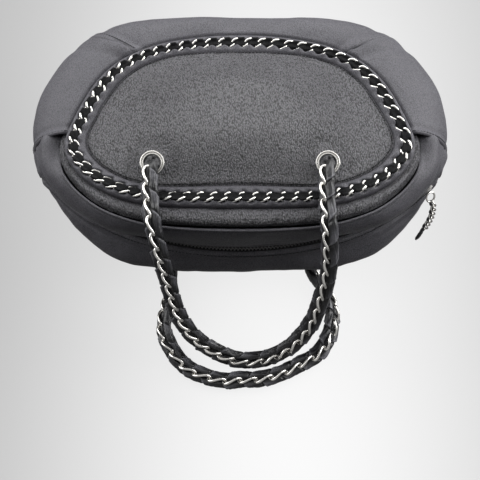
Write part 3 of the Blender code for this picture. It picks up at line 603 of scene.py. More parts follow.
def spun(name, profile, steps, spot, material, closed=True):
    """A turned part: an outline of radius and height, spun about its axis."""
    mesh = bpy.data.meshes.new(name)
    count = len(profile)
    edges = [(index, (index + 1) % count) for index in range(count if closed else count - 1)]
    mesh.from_pydata([(radius, 0, height) for radius, height in profile], edges, [])
    thing = bpy.data.objects.new(name, mesh)
    bpy.context.scene.collection.objects.link(thing)
    turning = thing.modifiers.new("turning", "SCREW")
    turning.steps = steps
    turning.angle = -math.tau
    apply_modifiers(thing)
    clean(thing, 0.01 * mm)
    thing.data.transform(spot)
    thing.data.materials.append(material)
    bpy.ops.object.shade_smooth()
    return thing


axes_along_y = axes_at((0, 0, 0), (0, 1, 0), (0, 0, 1))
print("axes along Y are turned by", round(math.degrees(axes_along_y.to_euler().z)), "degrees")

# %% [markdown]
# ## Tying a piece to the frame
# A finished piece rides on a body of the frame, so that it moves with the joints, and the plain CAD
# nodes that it stands for are hidden. The handles are rooted in their eyelets; their pieces have their
# place baked into the mesh and hide their CAD nodes.

# %% Settling
def settle(piece, body, slot, *nodes):
    """Tie a finished piece to its body and hide the CAD nodes it stands for. The slot is not used."""
    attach(piece, body)
    if nodes:
        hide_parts(*nodes)
    return piece


def settle_bent(piece, hinge, body, slot, *nodes):
    """A piece rooted in an eyelet: bake its place into its mesh and hide the CAD nodes it stands for.
    Hinge, body and slot are not used.
    """
    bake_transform(piece)
    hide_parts(*nodes)
    return piece


print("CAD nodes:", len(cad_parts))

# %% [markdown]
# ## Face panels
# Each face is one piece of pebbled lambskin. It is domed by what the bag holds, and it dips into the
# stitched seam beside the chain. Near the seam the leather puckers, and it sags in wide, soft swells.
# The rear face is the same piece, mirrored, but the bag lies on it, so its folds stay flatter.

# %% Face panels
seam_in, seam_out = 10.0 * mm, 9.4 * mm  # the seams on the two sides of the chain
eyelet_x, eyelet_y = 74 * mm, 50.3 * mm
faces = ((False, "front"), (True, "rear"))
ring_u = np.linspace(0, stations, 505)


def gaps(u, v):
    """Places, and their distances from the first and last row, along the surface."""
    places = surface(u[:, None], v)
    steps = np.linalg.norm(np.diff(places, axis=1), axis=-1)
    run = np.concatenate([np.zeros((len(u), 1)), np.cumsum(steps, axis=1)], axis=1)
    return places, run, run[:, -1:] - run


def dip(gap, depth=1.3 * mm, width=2.4 * mm):
    """The dive of a piece's edge into its seam."""
    return -depth * ridge(gap, 0, width)


def rows_between(first, last, shares):
    """Rows of v at given shares of the way from a first line to a last."""
    return first[:, None] + (last - first)[:, None] * np.asarray(shares)[None, :]


def crowded(count, power=1.6):
    """Shares from 0 to 1, closer together near both ends."""
    line = np.linspace(-1, 1, count)
    return (np.sign(line) * np.abs(line) ** (1 / power) + 1) / 2


def lying(lift, places, rear, share, clear=0.0):
    """Folds of a rear piece keep to a share of the room that they have above the floor."""
    return np.minimum(lift, (thickness - places[..., 2]) * share - clear) if rear else lift


for rear, word in faces:
    edge = travel(ring_u, 1.0, -seam_in + 0.4 * mm)
    shares = np.concatenate([[0.0], np.linspace(0.04, 0.8, 34), np.linspace(0.82, 1, 18)])
    v = rows_between(0 * edge, edge, shares)
    places, _, gap = gaps(ring_u, v)
    from_eyelet = np.hypot(np.abs(places[..., 0]) - eyelet_x, places[..., 1] + eyelet_y)
    pucker = soft_noise(places, 6 * mm, 3) * np.exp(-gap / (10 * mm)) * 0.45 * mm
    swell = soft_noise(places, 55 * mm, 5) * 1.5 * mm * smooth_step(gap / (30 * mm))
    lift = (pucker + swell * smooth_step((from_eyelet - 10 * mm) / (20 * mm)) + dip(gap)
            + 0.4 * mm * ridge(gap, 6 * mm, 3 * mm)  # the roll behind the seam
            - 0.9 * mm * ridge(from_eyelet, 17 * mm, 5 * mm))  # the dent round an eyelet
    lift = lying(lift, places, rear, 0.5)
    panel = laid("face_" + word, ring_u, v, lift, grained_leather, closed=True, rear=rear)
    settle(panel, "bag", "grained_leather", word + "_panel")
print("face panel:", len(panel.data.polygons), "faces")

# %% [markdown]
# ## The lips of the chain channel
# A folded strip of leather runs along each side of the chain. The lace that holds the chain pulls the
# folds down at every link, so the leather puffs out between the links.

# %% Lips
link_count = 61  # from the pitch of the links in the photo
fine_u = np.linspace(0, stations, 2801)
ring_run = run_along(surface(fine_u, 1.0))
ring_length = ring_run[-1]
link_step = ring_length / link_count


def u_at(distance):
    """The station at a distance round the ring."""
    return np.interp(np.mod(distance, ring_length), ring_run, fine_u)


steps_a_link = 10
lip_phase = np.arange(link_count * steps_a_link + 1) / steps_a_link  # links counted round the ring
lip_u = u_at(np.minimum(lip_phase * link_step, ring_length * (1 - 1e-9)))
# The lips in section, in mm: across the chain, and up from the bag's surface.
inner_profile = np.array([(-10.6, -2.6), (-10.2, -1.5), (-9.6, -0.4), (-8.8, 0.5), (-7.8, 1.2),
                          (-6.8, 1.5), (-5.8, 1.5), (-5.0, 1.1), (-4.4, 0.4), (-4.1, -0.8),
                          (-4.2, -2.6)]) * mm
outer_profile = np.array([(4.2, -2.6), (4.1, -0.8), (4.4, 0.3), (5.0, 0.8), (5.8, 1.1), (6.6, 1.1),
                          (7.3, 0.8), (8.0, 0.1), (8.6, -1.0), (9.0, -2.2), (9.2, -3.2)]) * mm


def lip(name, profile, rear, lag):
    """One lip. The part beside the chain puffs over it between two pulls of the lace."""
    wave = (0.5 + 0.5 * np.cos(math.tau * (lip_phase - lag)))[:, None]
    beside = ridge(np.abs(profile[:, 0]), 4.9 * mm, 1.9 * mm)[None, :]
    across = profile[:, 0] - np.sign(profile[0, 0]) * wave * beside * 1.3 * mm
    v = travel(lip_u[:, None], 1.0, across)
    places = surface(lip_u[:, None], v)
    lift = profile[:, 1] + beside * (wave - 0.45) * 2.5 * mm
    lift = lying(lift + soft_noise(places, 5 * mm, 8) * 0.35 * mm * beside, places, rear, 1, 0.3 * mm)
    return laid(name, lip_u, v, lift, side_leather, 1.0 * mm, closed=True, rear=rear)


for rear, word in faces:
    settle(lip("lip_inner_" + word, inner_profile, rear, 0.75), "bag", "grained_leather")
    settle(lip("lip_outer_" + word, outer_profile, rear, 0.25), "bag", "grained_leather")
print("chain ring:", round(ring_length / mm), "mm, a link every", round(link_step / mm, 1), "mm")

# %% [markdown]
# ## The chain of the ring and its lace
# The chain is a curb chain: oval links with a twist, so that they lie flat. Each link is bent from
# wire and passes through the next. A leather lace runs along the channel, over the middle of every
# link and under the place where two links cross, and ties the chain into the bag.

# %% Ring chain
def curb_link(name, pitch, half_wide, radius, twist, points=30):
    """One twisted link: X along the chain, Z out of it."""
    half_length = pitch / 2 + radius * 1.05
    turn = np.linspace(0, math.tau, points, endpoint=False)
    x = half_length * np.sign(np.cos(turn)) * np.abs(np.cos(turn)) ** 0.8
    y = half_wide * np.sign(np.sin(turn)) * np.abs(np.sin(turn)) ** 0.8
    lean = twist * x / half_length
    line = np.stack([x, y * np.cos(lean), y * np.sin(lean)], 1)
    return wire(name, even_line(line, 1.1 * mm, True), radius, nickel, True, 2)


link_half_wide, link_wire = 4.3 * mm, 1.15 * mm
link_twist, link_tilt = math.radians(48), math.radians(14)
lace_half = 5.6 * mm  # the lace fills the channel from lip to lip
for rear, word in faces:
    way = 1 if rear else -1
    v = full_turn - 1.0 if rear else 1.0
    spots = []
    for index in range(link_count):
        before, u, after = (u_at((index + share) * link_step) for share in (0.2, 0.5, 0.8))
        along = surface(after, v) - surface(before, v)
        spots.append(axes_at(skin(u, v, -0.5 * mm), along, outward(u, v))
                     @ Matrix.Rotation(way * link_tilt, 4, "X"))
    link = curb_link("link", link_step, link_half_wide, link_wire, way * link_twist)
    chain = copies(link, spots, "chain_ring_" + word)
    settle(chain, "bag", "silver_metal", word + "_chain_trim")
    across = np.linspace(-lace_half, lace_half, 17)[None, :]
    phase = lip_phase[:, None] + 0.53 + across / lace_half * 0.07
    over = smooth_step(0.82 + 0.80 * np.cos(math.tau * phase))  # 1 where it crosses over a link
    flank = smooth_step((5.7 * mm - np.abs(across)) / (1.5 * mm))  # it dives at the lips
    middle = smooth_step((3.5 * mm - np.abs(across + 0.7 * mm)) / (1.2 * mm))
    pull = 3.5 + 2.6 * smooth_step(across / (3 * mm))  # it is thicker at the outer lip
    lift = -2.8 * mm + np.maximum(over * pull * flank, middle * (4.3 + 0.3 * over)) * mm
    v = travel(lip_u[:, None], 1.0, across)
    lift = lift + soft_noise(surface(lip_u[:, None], v), 3.5 * mm, 21) * 0.25 * mm
    # The lace's near-black colour is partly painted shade of the channel it lies in.
    lace = laid("lace_ring_" + word, lip_u, v, lift, tie_leather_painted_shade, 0.8 * mm, closed=True, rear=rear)
    settle(lace, "bag", "lace_leather", word + "_trim_lace")
print("links in a ring:", link_count)

# %% [markdown]
# ## Crescents and piping
# On the zip side of the ring lies a crescent of the same pebbled leather, and beyond it a thin
# piping: a cord in a strip of leather, which shows as one bright line. The crescent is narrow and
# pulled tight, so fine streaks run along it besides its swells, mostly next to the piping.

# %% Crescents
crescent_width = 27.0 * mm
crescent_end, piping_end = 7.6, 5.6  # their last stations, on both sides of the middle
piping_radius = 1.25 * mm


def piping_place(u, distance):
    """The v at a distance beyond the piping's line."""
    return travel(u, 1.0, crescent_width * blend_table(crescent_shares, u) + distance)


crescent_u = np.linspace(-crescent_end, crescent_end, 310)
line_u = np.linspace(-piping_end, piping_end, 240)
line_v = piping_place(line_u, 0.6 * mm)
for rear, word in faces:
    first = travel(crescent_u, 1.0, seam_out - 0.8 * mm)
    last = np.maximum(piping_place(crescent_u, -0.9 * mm), first + 0.002)
    v = rows_between(first, last, crowded(34))
    places, inner, outer = gaps(crescent_u, v)
    along = crescent_u[:, None] * 20 * mm + 0.7 * inner
    streaks = np.stack([along / (3.6 * mm), inner / (16 * mm), 0 * v], -1)
    lift = (dip(inner, 3.6 * mm, 3.2 * mm) + dip(outer, 3.2 * mm, 3.2 * mm)
            + soft_noise(streaks, 1.0, 33) * 0.45 * mm * (0.3 + ridge(outer, 6 * mm, 5 * mm))
            + soft_noise(places, 16 * mm, 31) * 0.6 * mm
            + 1.0 * mm * ridge(outer, 9 * mm, 5 * mm))
    lift = lying(lift, places, rear, 0.6)
    yoke = laid("crescent_" + word, crescent_u, v, lift, grained_leather, rear=rear)
    settle(yoke, "bag", "grained_leather", word + "_yoke")
    line = skin(line_u, full_turn - line_v if rear else line_v, 0.5 * mm)
    pipe = wire("piping_" + word, line, piping_radius, side_leather)
    settle(pipe, "bag", "grained_leather", word + "_piping")
print("piping:", len(pipe.data.polygons), "faces")

# %% [markdown]
# ## The top: two strips beside the zip
# The zip side is two strips of smooth leather with the zip between them. Their inner edges fold
# inwards, and the strips swell and crease softly where the bag bends. At the ends of the crescents
# the leather is tucked under in a deep pleat.

# %% Top strips
zip_channel_half = 7.0 * mm
strip_end, bend_from, pleat_from = 7.66, 3.2, 5.4  # stations from the middle of the zip
side_station = 17 * mm  # a station is about this long on the bag's sides
strip_u = np.linspace(-strip_end, strip_end, 330)
aside = np.abs(strip_u)[:, None]
for rear, word in faces:
    first = piping_place(strip_u, 0.8 * mm)
    last = height_row(strip_u, zip_channel_half)
    v = rows_between(first, last, crowded(52, 1.4))
    places, inner, outer = gaps(strip_u, v)
    drawn = np.stack([strip_u[:, None] * 0.4 + 0 * v, inner / (4 * mm), 0 * v], -1)
    streaks = soft_noise(drawn, 1.0, 47)
    bend = smooth_step((aside - bend_from) / 2) * ridge(outer, 6 * mm, 12 * mm)
    pleat = smooth_step((aside - pleat_from) / 1.6)
    swell = soft_noise(places * np.array([1, 1, 1.6]), 26 * mm, 41) * 1.2 * mm
    lift = (dip(inner, 1.6 * mm, 1.6 * mm)
            - 6.5 * mm * pleat * ridge(inner, 1 * mm, 6.5 * mm)  # the tuck under the crescent
            + 3.0 * mm * pleat * ridge(inner, 16 * mm, 8 * mm)  # and the roll below it
            + dip((strip_end - aside) * side_station, 1.6 * mm, 3 * mm)
            + dip(outer, 2.4 * mm, 1.2 * mm)  # the fold beside the zip
            + 0.8 * mm * ridge(outer, 4.5 * mm, 2.4 * mm)  # and its roll
            + 1.7 * mm * streaks * bend  # creases where the bag bends
            + swell * smooth_step(inner / (9 * mm)) * smooth_step(outer / (9 * mm))
            + soft_noise(places, 8 * mm, 43) * 0.25 * mm * smooth_step(inner / (4 * mm)))
    lift = lying(lift, places, rear, 0.5)
    strip = laid("top_strip_of_" + word, strip_u, v, lift, side_leather, rear=rear)
    settle(strip, "bag", "grained_leather", "top_strip_" + word)
print("top strip:", len(strip.data.polygons), "faces")

# %% [markdown]
# ## Sides and base
# One panel wraps each side and one wraps the base. Each is folded over its neighbour's edge and
# sewn down, so its edge stands a little proud, with a shallow valley behind it.

# %% Sides and base
hem_wide, hem_high = 5 * mm, 1.3 * mm


def wrapped(name, u, station_long, seed, node):
    """A panel from the front ring round to the rear one, with a hem along both its ends."""
    first = travel(u, 1.0, seam_out - 0.8 * mm)
    v = rows_between(first, full_turn - first, crowded(150, 1.2))
    places, inner, outer = gaps(u, v)
    lift = dip(inner, 2.0 * mm, 1.8 * mm) + dip(outer, 2.0 * mm, 1.8 * mm)
    for stations_in in (u - u[0], u[-1] - u):
        gap = stations_in[:, None] * station_long
        lift = (lift + hem_high * np.exp(-(gap / hem_wide) ** 4) + dip(gap, 1.6 * mm, 0.8 * mm)
                - 0.7 * mm * ridge(gap, 7.5 * mm, 2.2 * mm))
    soft = smooth_step(inner / (12 * mm)) * smooth_step(outer / (12 * mm))
    lift = lift + soft_noise(places * np.array([1, 1, 0.7]), 34 * mm, seed) * 1.6 * mm * soft
    lift = lift + soft_noise(places, 9 * mm, seed + 1) * 0.2 * mm
    height = np.maximum(places[..., 2], 0)
    lift = np.minimum(lift, height * 0.5 + (height > 8 * mm) * 5 * mm)  # no fold meets the floor
    piece = laid(name, u, v, lift, side_leather)
    return settle(piece, "bag", "grained_leather", node)


side_u = np.linspace(7.47, 11.5, 130)
base_u = np.linspace(11.42, 16.58, 200)
base_station_long = 24 * mm
wrapped("side_right", side_u, side_station, 51, "side_panel_right")
wrapped("side_left", -side_u[::-1], side_station, 61, "side_panel_left")
base = wrapped("base", base_u, base_station_long, 71, "base_panel")
print("base panel:", len(base.data.polygons), "faces")

# %% [markdown]
# ## Eyelets
# Two eyelets in each face carry the handles. Each is a ring of steel sheet, rolled outwards over the
# leather, with a second, thinner roll inside it, then plated and polished like the chain. It is turned
# from its section, because every section through its axis is the same.

# %% Eyelets
# The rolled ring in section, in mm: radius, and height above the leather.
rolled = [(7.0, -3.4), (7.0, 0.2), (7.05, 1.1), (7.25, 1.5), (7.6, 1.62), (8.1, 1.6), (8.4, 1.5),
          (8.55, 1.1), (8.7, 1.1), (8.85, 1.75), (9.1, 1.97), (9.6, 2.02), (10.0, 1.95),
          (10.25, 1.75), (10.4, 1.2), (10.4, 0.2), (10.1, -0.4), (9.7, -0.6), (7.8, -0.6),
          (7.7, -3.4)]


def eyelet_spot(x, rear):
    """Where an eyelet sits, with Z out of the bag."""
    u_line = np.linspace(0, base_station, 1401)
    ring = blend_table(ring_shares, u_line) * scale_xy
    u = np.interp(math.atan2(abs(x), eyelet_y), np.arctan2(ring[:, 0], -ring[:, 1]), u_line)
    u = math.copysign(u, x)
    reach = math.hypot(x, eyelet_y) / np.linalg.norm(blend_table(ring_shares, u) * scale_xy)
    v = full_turn - reach if rear else reach
    return axes_at(surface(u, v), (1, 0, 0), outward(u, v))


eyelet_spots = {word + side: eyelet_spot(x, rear) for rear, word in faces
                for side, x in (("_left", -eyelet_x), ("_right", eyelet_x))}
for word, spot in eyelet_spots.items():
    ring = spun("ring_" + word, [(r * mm, h * mm) for r, h in rolled], 72, spot, nickel)
    settle(ring, "bag", "silver_metal", "eyelet_" + word)
print("eyelets:", len(eyelet_spots))

# %% [markdown]
# ## Handles
# Each handle is a curb chain with two soft flat straps of leather plaited through it. The straps
# wrap round the chain, so from the front one side of each link stands out of the leather as a bright
# S, and the leather shows beside it as overlapping folds, one for each link.
# A route gives a handle's middle line, as shares of half the bag's width and height and of the
# eyelet's height over the floor. Its facings say which way the chain looks, from root to root.

# %% Handle lines
front_route = np.array([
    (-0.389, -0.449, 1), (-0.392, -0.53, 1), (-0.393, -0.635, 0.985),
    (-0.388, -0.772, 0.958), (-0.379, -0.92, 0.93), (-0.363, -1.045, 0.835),
    (-0.346, -1.14, 0.708), (-0.326, -1.243, 0.574), (-0.309, -1.336, 0.452),
    (-0.284, -1.428, 0.331), (-0.239, -1.515, 0.217), (-0.175, -1.587, 0.123),
    (-0.094, -1.643, 0.049), (0, -1.68, 0), (0.084, -1.68, 0),
    (0.167, -1.653, 0.036), (0.248, -1.592, 0.116), (0.31, -1.51, 0.224),
    (0.347, -1.428, 0.331), (0.371, -1.341, 0.445), (0.392, -1.239, 0.579),
    (0.4, -1.14, 0.708), (0.395, -1.045, 0.835), (0.387, -0.92, 0.93),
    (0.382, -0.772, 0.958), (0.379, -0.635, 0.985), (0.382, -0.53, 1),
    (0.389, -0.449, 1)])
rear_route = np.array([
    (-0.389, -0.449, 1), (-0.382, -0.54, 0.8), (-0.366, -0.68, 0),
    (-0.342, -0.92, 0), (-0.348, -1.15, 0), (-0.368, -1.312, 0),
    (-0.368, -1.461, 0), (-0.332, -1.598, 0), (-0.263, -1.741, 0),
    (-0.179, -1.812, 0), (-0.082, -1.853, 0), (0, -1.848, 0),
    (0.1, -1.839, 0), (0.2, -1.795, 0), (0.295, -1.714, 0),
    (0.379, -1.625, 0), (0.432, -1.491, 0), (0.453, -1.348, 0),
    (0.447, -1.2, 0), (0.4, -1.05, 0), (0.352, -0.9, 0),
    (0.35, -0.7, 0), (0.376, -0.54, 0.8), (0.389, -0.449, 1)])
front_facings = np.array([(-0.8, 0, 0.9), (-0.3, -0.6, 0.7), (0.1, -0.6, 0.7), (0, -0.4, 0.9),
                          (-0.15, -0.6, 0.7), (-0.7, -0.6, 0.6), (-0.9, 0, 0.9)])
rear_facings = np.array([(-1, 0, 0), (-1, 0, 0.1), (0, 0, 1), (0, 0, 1),
                         (0, 0, 1), (1, 0, 0.1), (1, 0, 0)])
hinge_height = {"front": 142.57 * mm, "rear": 7.43 * mm}
lie = 5.3 * mm  # the middle of a rope that lies on the floor


def handle_line(route, hinge, step):
    """Even points along a handle, from inside one eyelet to inside the other."""
    points = np.stack([route[:, 0] * half_width, route[:, 1] * half_height,
                       lie + route[:, 2] * (hinge - lie)], 1)
    inside = -1 if hinge > mid_height else 1
    roots = [[(way * eyelet_x, -eyelet_y - 1.5 * mm, hinge + inside * 16 * mm),
              (way * eyelet_x, -eyelet_y - 2.0 * mm, hinge + inside * 8 * mm),
              (way * eyelet_x, -eyelet_y - 5.5 * mm, hinge + inside * 1.6 * mm)]
             for way in (-1, 1)]
    return smooth_line(np.vstack([roots[0], points[1:-1], roots[1][::-1]]), step)


def directions(line, facings):
    """Tangent, facing and side directions at every point of a line."""
    tangent = np.gradient(line, axis=0)
    tangent /= np.linalg.norm(tangent, axis=1, keepdims=True)
    shares = np.linspace(0, len(facings) - 1, len(line))
    facing = read_line(shares, np.arange(len(facings)), facings)
    facing -= tangent * (facing * tangent).sum(1, keepdims=True)
    facing /= np.linalg.norm(facing, axis=1, keepdims=True)
    return tangent, facing, np.cross(tangent, facing)


print("handle length:", len(handle_line(front_route, hinge_height["front"], mm)), "mm")

# %% [markdown]
# ## The straps' leather
# The straps are soft, dark lambskin. Each vertex of a plait will store how proud it stands, as an
# attribute named crown. The shader paints the leather lighter there, a painted highlight on the edges
# of the folds where a strap catches light first, and keeps it dark in a strap's own crease.

# %% Plaited leather
plait_leather, plait_tree, plait_shader = new_material("lambskin_plaited", "1c1c1e", 0, 0.28, 0.4)
plait_place = add_node(plait_tree, "ShaderNodeTexCoord")
plait_painted_highlight = add_node(plait_tree, "ShaderNodeAttribute", attribute_name="crown")
plait_grain = add_node(plait_tree, "ShaderNodeTexNoise", [(plait_place, "Object", "Vector")],
                       Scale=cell_scale(1.1 * mm), Detail=4)
plait_share = add_node(plait_tree, "ShaderNodeMath",
                       [(plait_painted_highlight, "Fac", 0), (plait_grain, "Fac", 1)], operation="MULTIPLY")
plait_range = add_node(plait_tree, "ShaderNodeMapRange", [(plait_share, "Value", "Value")],
                       From_Max=0.42)
# Painted highlight: the crown mixes the dark strap colour towards a light grey.
plait_tone = add_node(plait_tree, "ShaderNodeMix", [(plait_range, "Result", "Factor")],
                      {6: colour("151517"), 7: colour("626267")}, data_type="RGBA")
plait_tree.links.new(plait_tone.outputs[2], plait_shader.inputs["Base Color"])
plait_bump = add_node(plait_tree, "ShaderNodeBump", [(plait_grain, "Fac", "Height")],
                      Distance=0.25 * mm)
plait_tree.links.new(plait_bump.outputs["Normal"], plait_shader.inputs["Normal"])
print("straps:", plait_leather.name)

# %% [markdown]
# ## The plait
# The plait is one closed tube, shaped as an artist would sculpt it: a groove for the chain, a step
# at the edge of each fold, a pinch where a strap dives under, and fine creases along the leather.
# The swell says how far each vertex stands from the rope's middle line, as a share of its size.

# %% Plait
fold_pitch = 18.5 * mm
rope_wide, rope_thick = 8.0 * mm, 5.0 * mm  # half its width and half its thickness
tube_step, tube_around = 0.55 * mm, 64  # how finely the tube is divided, along and around
lying_gap = 0.1 * mm  # where the bag lies on its back, its straps are pressed flat


def asides_along(asides, count):
    """How far the chain lies to one side of the rope, at each of a count of places."""
    return np.interp(np.linspace(0, 1, count), np.linspace(0, 1, len(asides)), asides)


def plait(name, line, facings, material, seed, size=1.0, asides=(0, 0)):
    """Two straps plaited round a chain: one closed tube with a groove and overlapping folds."""
    _, facing, side = directions(line, facings)
    run = (np.arange(len(line)) * np.linalg.norm(line[1] - line[0]))[:, None]
    turn = np.linspace(0, math.tau, tube_around, endpoint=False) + math.pi / tube_around
    groove = asides_along(asides, len(line))[:, None] / rope_wide
    signed = (turn[None, :] - groove + math.pi) % math.tau - math.pi  # the angle from the groove
    angle = np.abs(signed)
    hand = np.sign(signed)  # which of the two straps
    wander = soft_noise(np.stack([run / (30 * mm) + 0 * hand, 5 * hand + 0 * run, 0 * hand + 0 * run],
                                 -1), 1.0, seed + 5) * 0.22
    phase = run / fold_pitch + 0.5 * (hand > 0) - 0.75 * (angle / math.pi) ** 0.8 + wander
    order = np.floor(phase).astype(int)
    step = phase - order  # from a fold's edge to the next
    bold = np.random.default_rng(seed).random((400, 2))[order % 400, (hand > 0) + 0 * order]

    away = smooth_step((angle - 0.25) / 0.5)
    calm = 1 - 0.5 * smooth_step((angle - 0.95) / 0.5)
    fold = smooth_step(step / 0.10) * (1 - 0.7 * step ** 1.3)
    swell = 0.89 + (0.17 * fold * (0.5 + 0.8 * bold) - 0.15 * ridge(step, 0, 0.05)
                    - 0.15 * ridge(step, 1, 0.05) + 0.05 * ridge(step, 0.13, 0.06)) * away * calm
    swell = swell - 0.34 * ridge(signed, 0, 0.36)  # the groove of the chain
    second = angle - 0.9 - 0.7 * bold + 0.5 * step  # a strap's own crease
    swell = swell - 0.06 * ridge(second, 0, 0.10) + 0.03 * ridge(second, -0.22, 0.14)
    ends = np.minimum(run, run[-1] - run)
    swell = swell * (0.66 + 0.34 * smooth_step((ends - 8 * mm) / (16 * mm)))
    cap = np.sqrt(np.clip(1 - (1 - np.clip(ends / (4 * mm), 0, 1)) ** 2, 0.0004, 1))

    cos, sin = np.cos(turn)[None, :, None], np.sin(turn)[None, :, None]
    offset = facing[:, None, :] * cos * rope_thick + side[:, None, :] * sin * rope_wide
    places = line[:, None, :] + offset * (swell * cap * size)[..., None]
    crease = soft_noise(places, 2.2 * mm, seed) * 0.22 * mm
    crease = crease + soft_noise(places, 6 * mm, seed + 1) * 0.5 * mm
    strands = np.sin(signed * 15 + 5 * bold + step * 4) * 0.14 * mm
    unit = offset / np.linalg.norm(offset, axis=-1, keepdims=True)
    places = places + unit * ((crease + strands) * cap * size)[..., None]
    places[..., 2] = np.maximum(places[..., 2], lying_gap)
    places = np.concatenate([places, places[:, :1]], 1)
    tips = [np.repeat(line[end, None, None, :], tube_around + 1, 1) for end in (0, -1)]

    # Painted highlight and shade: crown is high on the leading edge of each fold and low in a strap's
    # own crease.
    crown = (smooth_step((step - 0.05) / 0.10) * (1 - smooth_step((step - 0.22) / 0.7))
             * smooth_step((angle - 0.40) / 0.4) * (0.25 + 0.75 * bold)
             * (1 - 0.7 * ridge(second, 0, 0.12)) * (0.75 + 0.25 * np.sin(signed * 21 + 9 * bold)))
    crown = np.pad(crown + 0.7 * ridge(step, 0.12, 0.05) * away, ((1, 1), (0, 1)), mode="edge")
    return grid_piece(name, np.concatenate([tips[0], places, tips[1]], 0), material, closed=True,
                      crown=crown)


print("a strap shows a fold every", round(fold_pitch / mm, 1), "mm")

# %% [markdown]
# ## The handles' chains
# A chain lies in the groove of each plait. Every link faces out of the rope and passes through the
# next, and it sits so deep that the leather hides its other side.

# %% Handles
def chain_spots(line, facings, pitch, lift, asides=(0, 0)):
    """A spot for every link along a line, with Y out along the facing."""
    tangent, facing, side = directions(line, facings)
    run = np.arange(len(line)) * np.linalg.norm(line[1] - line[0])
    count = int(run[-1] / pitch)
    aside = asides_along(asides, len(line))
    spots = []
    for index in range(count):
        at = int(np.argmin(np.abs(run - (index + 0.5) * run[-1] / count)))
        place = line[at] + facing[at] * lift + side[at] * aside[at]
        spots.append(axes_at(place, tangent[at], side[at]))
    return spots


front_asides = np.array([1.0, -0.8, 0.2, 1.4, 0.8, -0.6, -0.8]) * mm
rear_asides = np.array([0.0, 1.0, 1.6, 1.6, 1.6, 0.0, 0.0]) * mm
plait_pitch = 13.6 * mm
root_steps = 35  # the chain starts this many steps inside the rope's ends
for word, route, facings, asides in (("front", front_route, front_facings, front_asides),
                                     ("rear", rear_route, rear_facings, rear_asides)):
    line = handle_line(route, hinge_height[word], tube_step)
    rope = plait("plait_" + word, line, facings, plait_leather, 91, 1.0, asides)
    settle_bent(rope, hinge_height[word], word + "_handle", "lace_leather", word + "_handle_rope")
    link = curb_link("link", plait_pitch, 4.2 * mm, 1.4 * mm, math.radians(-56), 36)
    spots = chain_spots(line[root_steps:-root_steps], facings, plait_pitch, 2.0 * mm, asides)
    chain = copies(link, spots, "chain_handle_" + word)
    settle_bent(chain, hinge_height[word], word + "_handle", "silver_metal",
                word + "_handle_chain")
print("links in a handle:", len(spots))

# %% [markdown]
# ## Where the handles enter
# Inside each eyelet the straps are bundled and knotted. The bundle fills the hole, and the knot
# behind it takes the pull.

# %% Bundles
# A bundle in section, in mm: radius, and height above the leather.
knotted = [(0, -20), (6.5, -19), (9.8, -15), (10.4, -11), (8.2, -7.6), (6.9, -6.4), (6.6, -2),
           (6.9, 0.4), (6.6, 1.6), (5.2, 2.5), (2.6, 3.0), (0, 3.1)]
fine = smooth_line([(r * mm, h * mm, 0) for r, h in knotted], 0.7 * mm)[:, :2]
fine[0, 0] = fine[-1, 0] = 0
for word, spot in eyelet_spots.items():
    bundle = spun("bundle_" + word, fine.tolist(), 48, Matrix(), lace_leather, closed=False)
    flat = points_of(bundle)
    x, y, z = flat.T.copy()
    radius, turn = np.hypot(x, y), np.arctan2(y, x)
    twist = 1.0 * mm * np.sin(3 * turn + radius / mm * 0.5) * smooth_step(radius / (3 * mm))
    parting = 1.2 * mm * ridge(x + 0.3 * y, 1.5 * mm, 0.8 * mm)  # between the two straps
    flat[:, 2] += twist * (z > -3 * mm) - parting * (z > 0)
    flat[:, :2] *= 1 - 0.06 * np.abs(np.sin(2.5 * turn + flat[:, 2] / (3 * mm)))[:, None]
    bundle.data.vertices.foreach_set("co", flat.ravel())
    bundle.data.transform(spot)
    settle(bundle, "bag", "lace_leather", "handle_end_" + word)
print("bundles:", len(eyelet_spots))

# %% [markdown]
# ## The zip
# Two woven tapes lie under the strips, each with a row of metal teeth. The teeth are small blocks
# with rounded edges, set on the zip's arc. The two rows are half a step apart, so they interlock.

# %% Zip
zip_half_angle = math.radians(41)


def zip_spot(angle, out=0.0, up=0.0):
    """A spot on the zip's arc: X along the zip and Z out of the bag."""
    way = np.array([math.sin(angle), -math.cos(angle), 0])
    place = np.array([0, zip_centre_y, mid_height + up]) + way * (zip_radius + out)
    return axes_at(place, (math.cos(angle), math.sin(angle), 0), way)


def block(name, sizes, bevel, material):
    """A block with rounded edges, full sizes along X, Y and Z."""
    bpy.ops.mesh.primitive_cube_add(size=1)
    thing = bpy.context.object
    thing.name = name
    bpy.ops.object.mode_set(mode="EDIT")
    bpy.ops.transform.resize(value=sizes)
    bpy.ops.object.mode_set(mode="OBJECT")
    rounding = thing.modifiers.new("rounding", "BEVEL")
    rounding.width = bevel
    rounding.segments = 2
    apply_modifiers(thing)
    thing.data.materials.append(material)
    bpy.ops.object.shade_smooth_by_angle(angle=math.radians(40))
    return thing


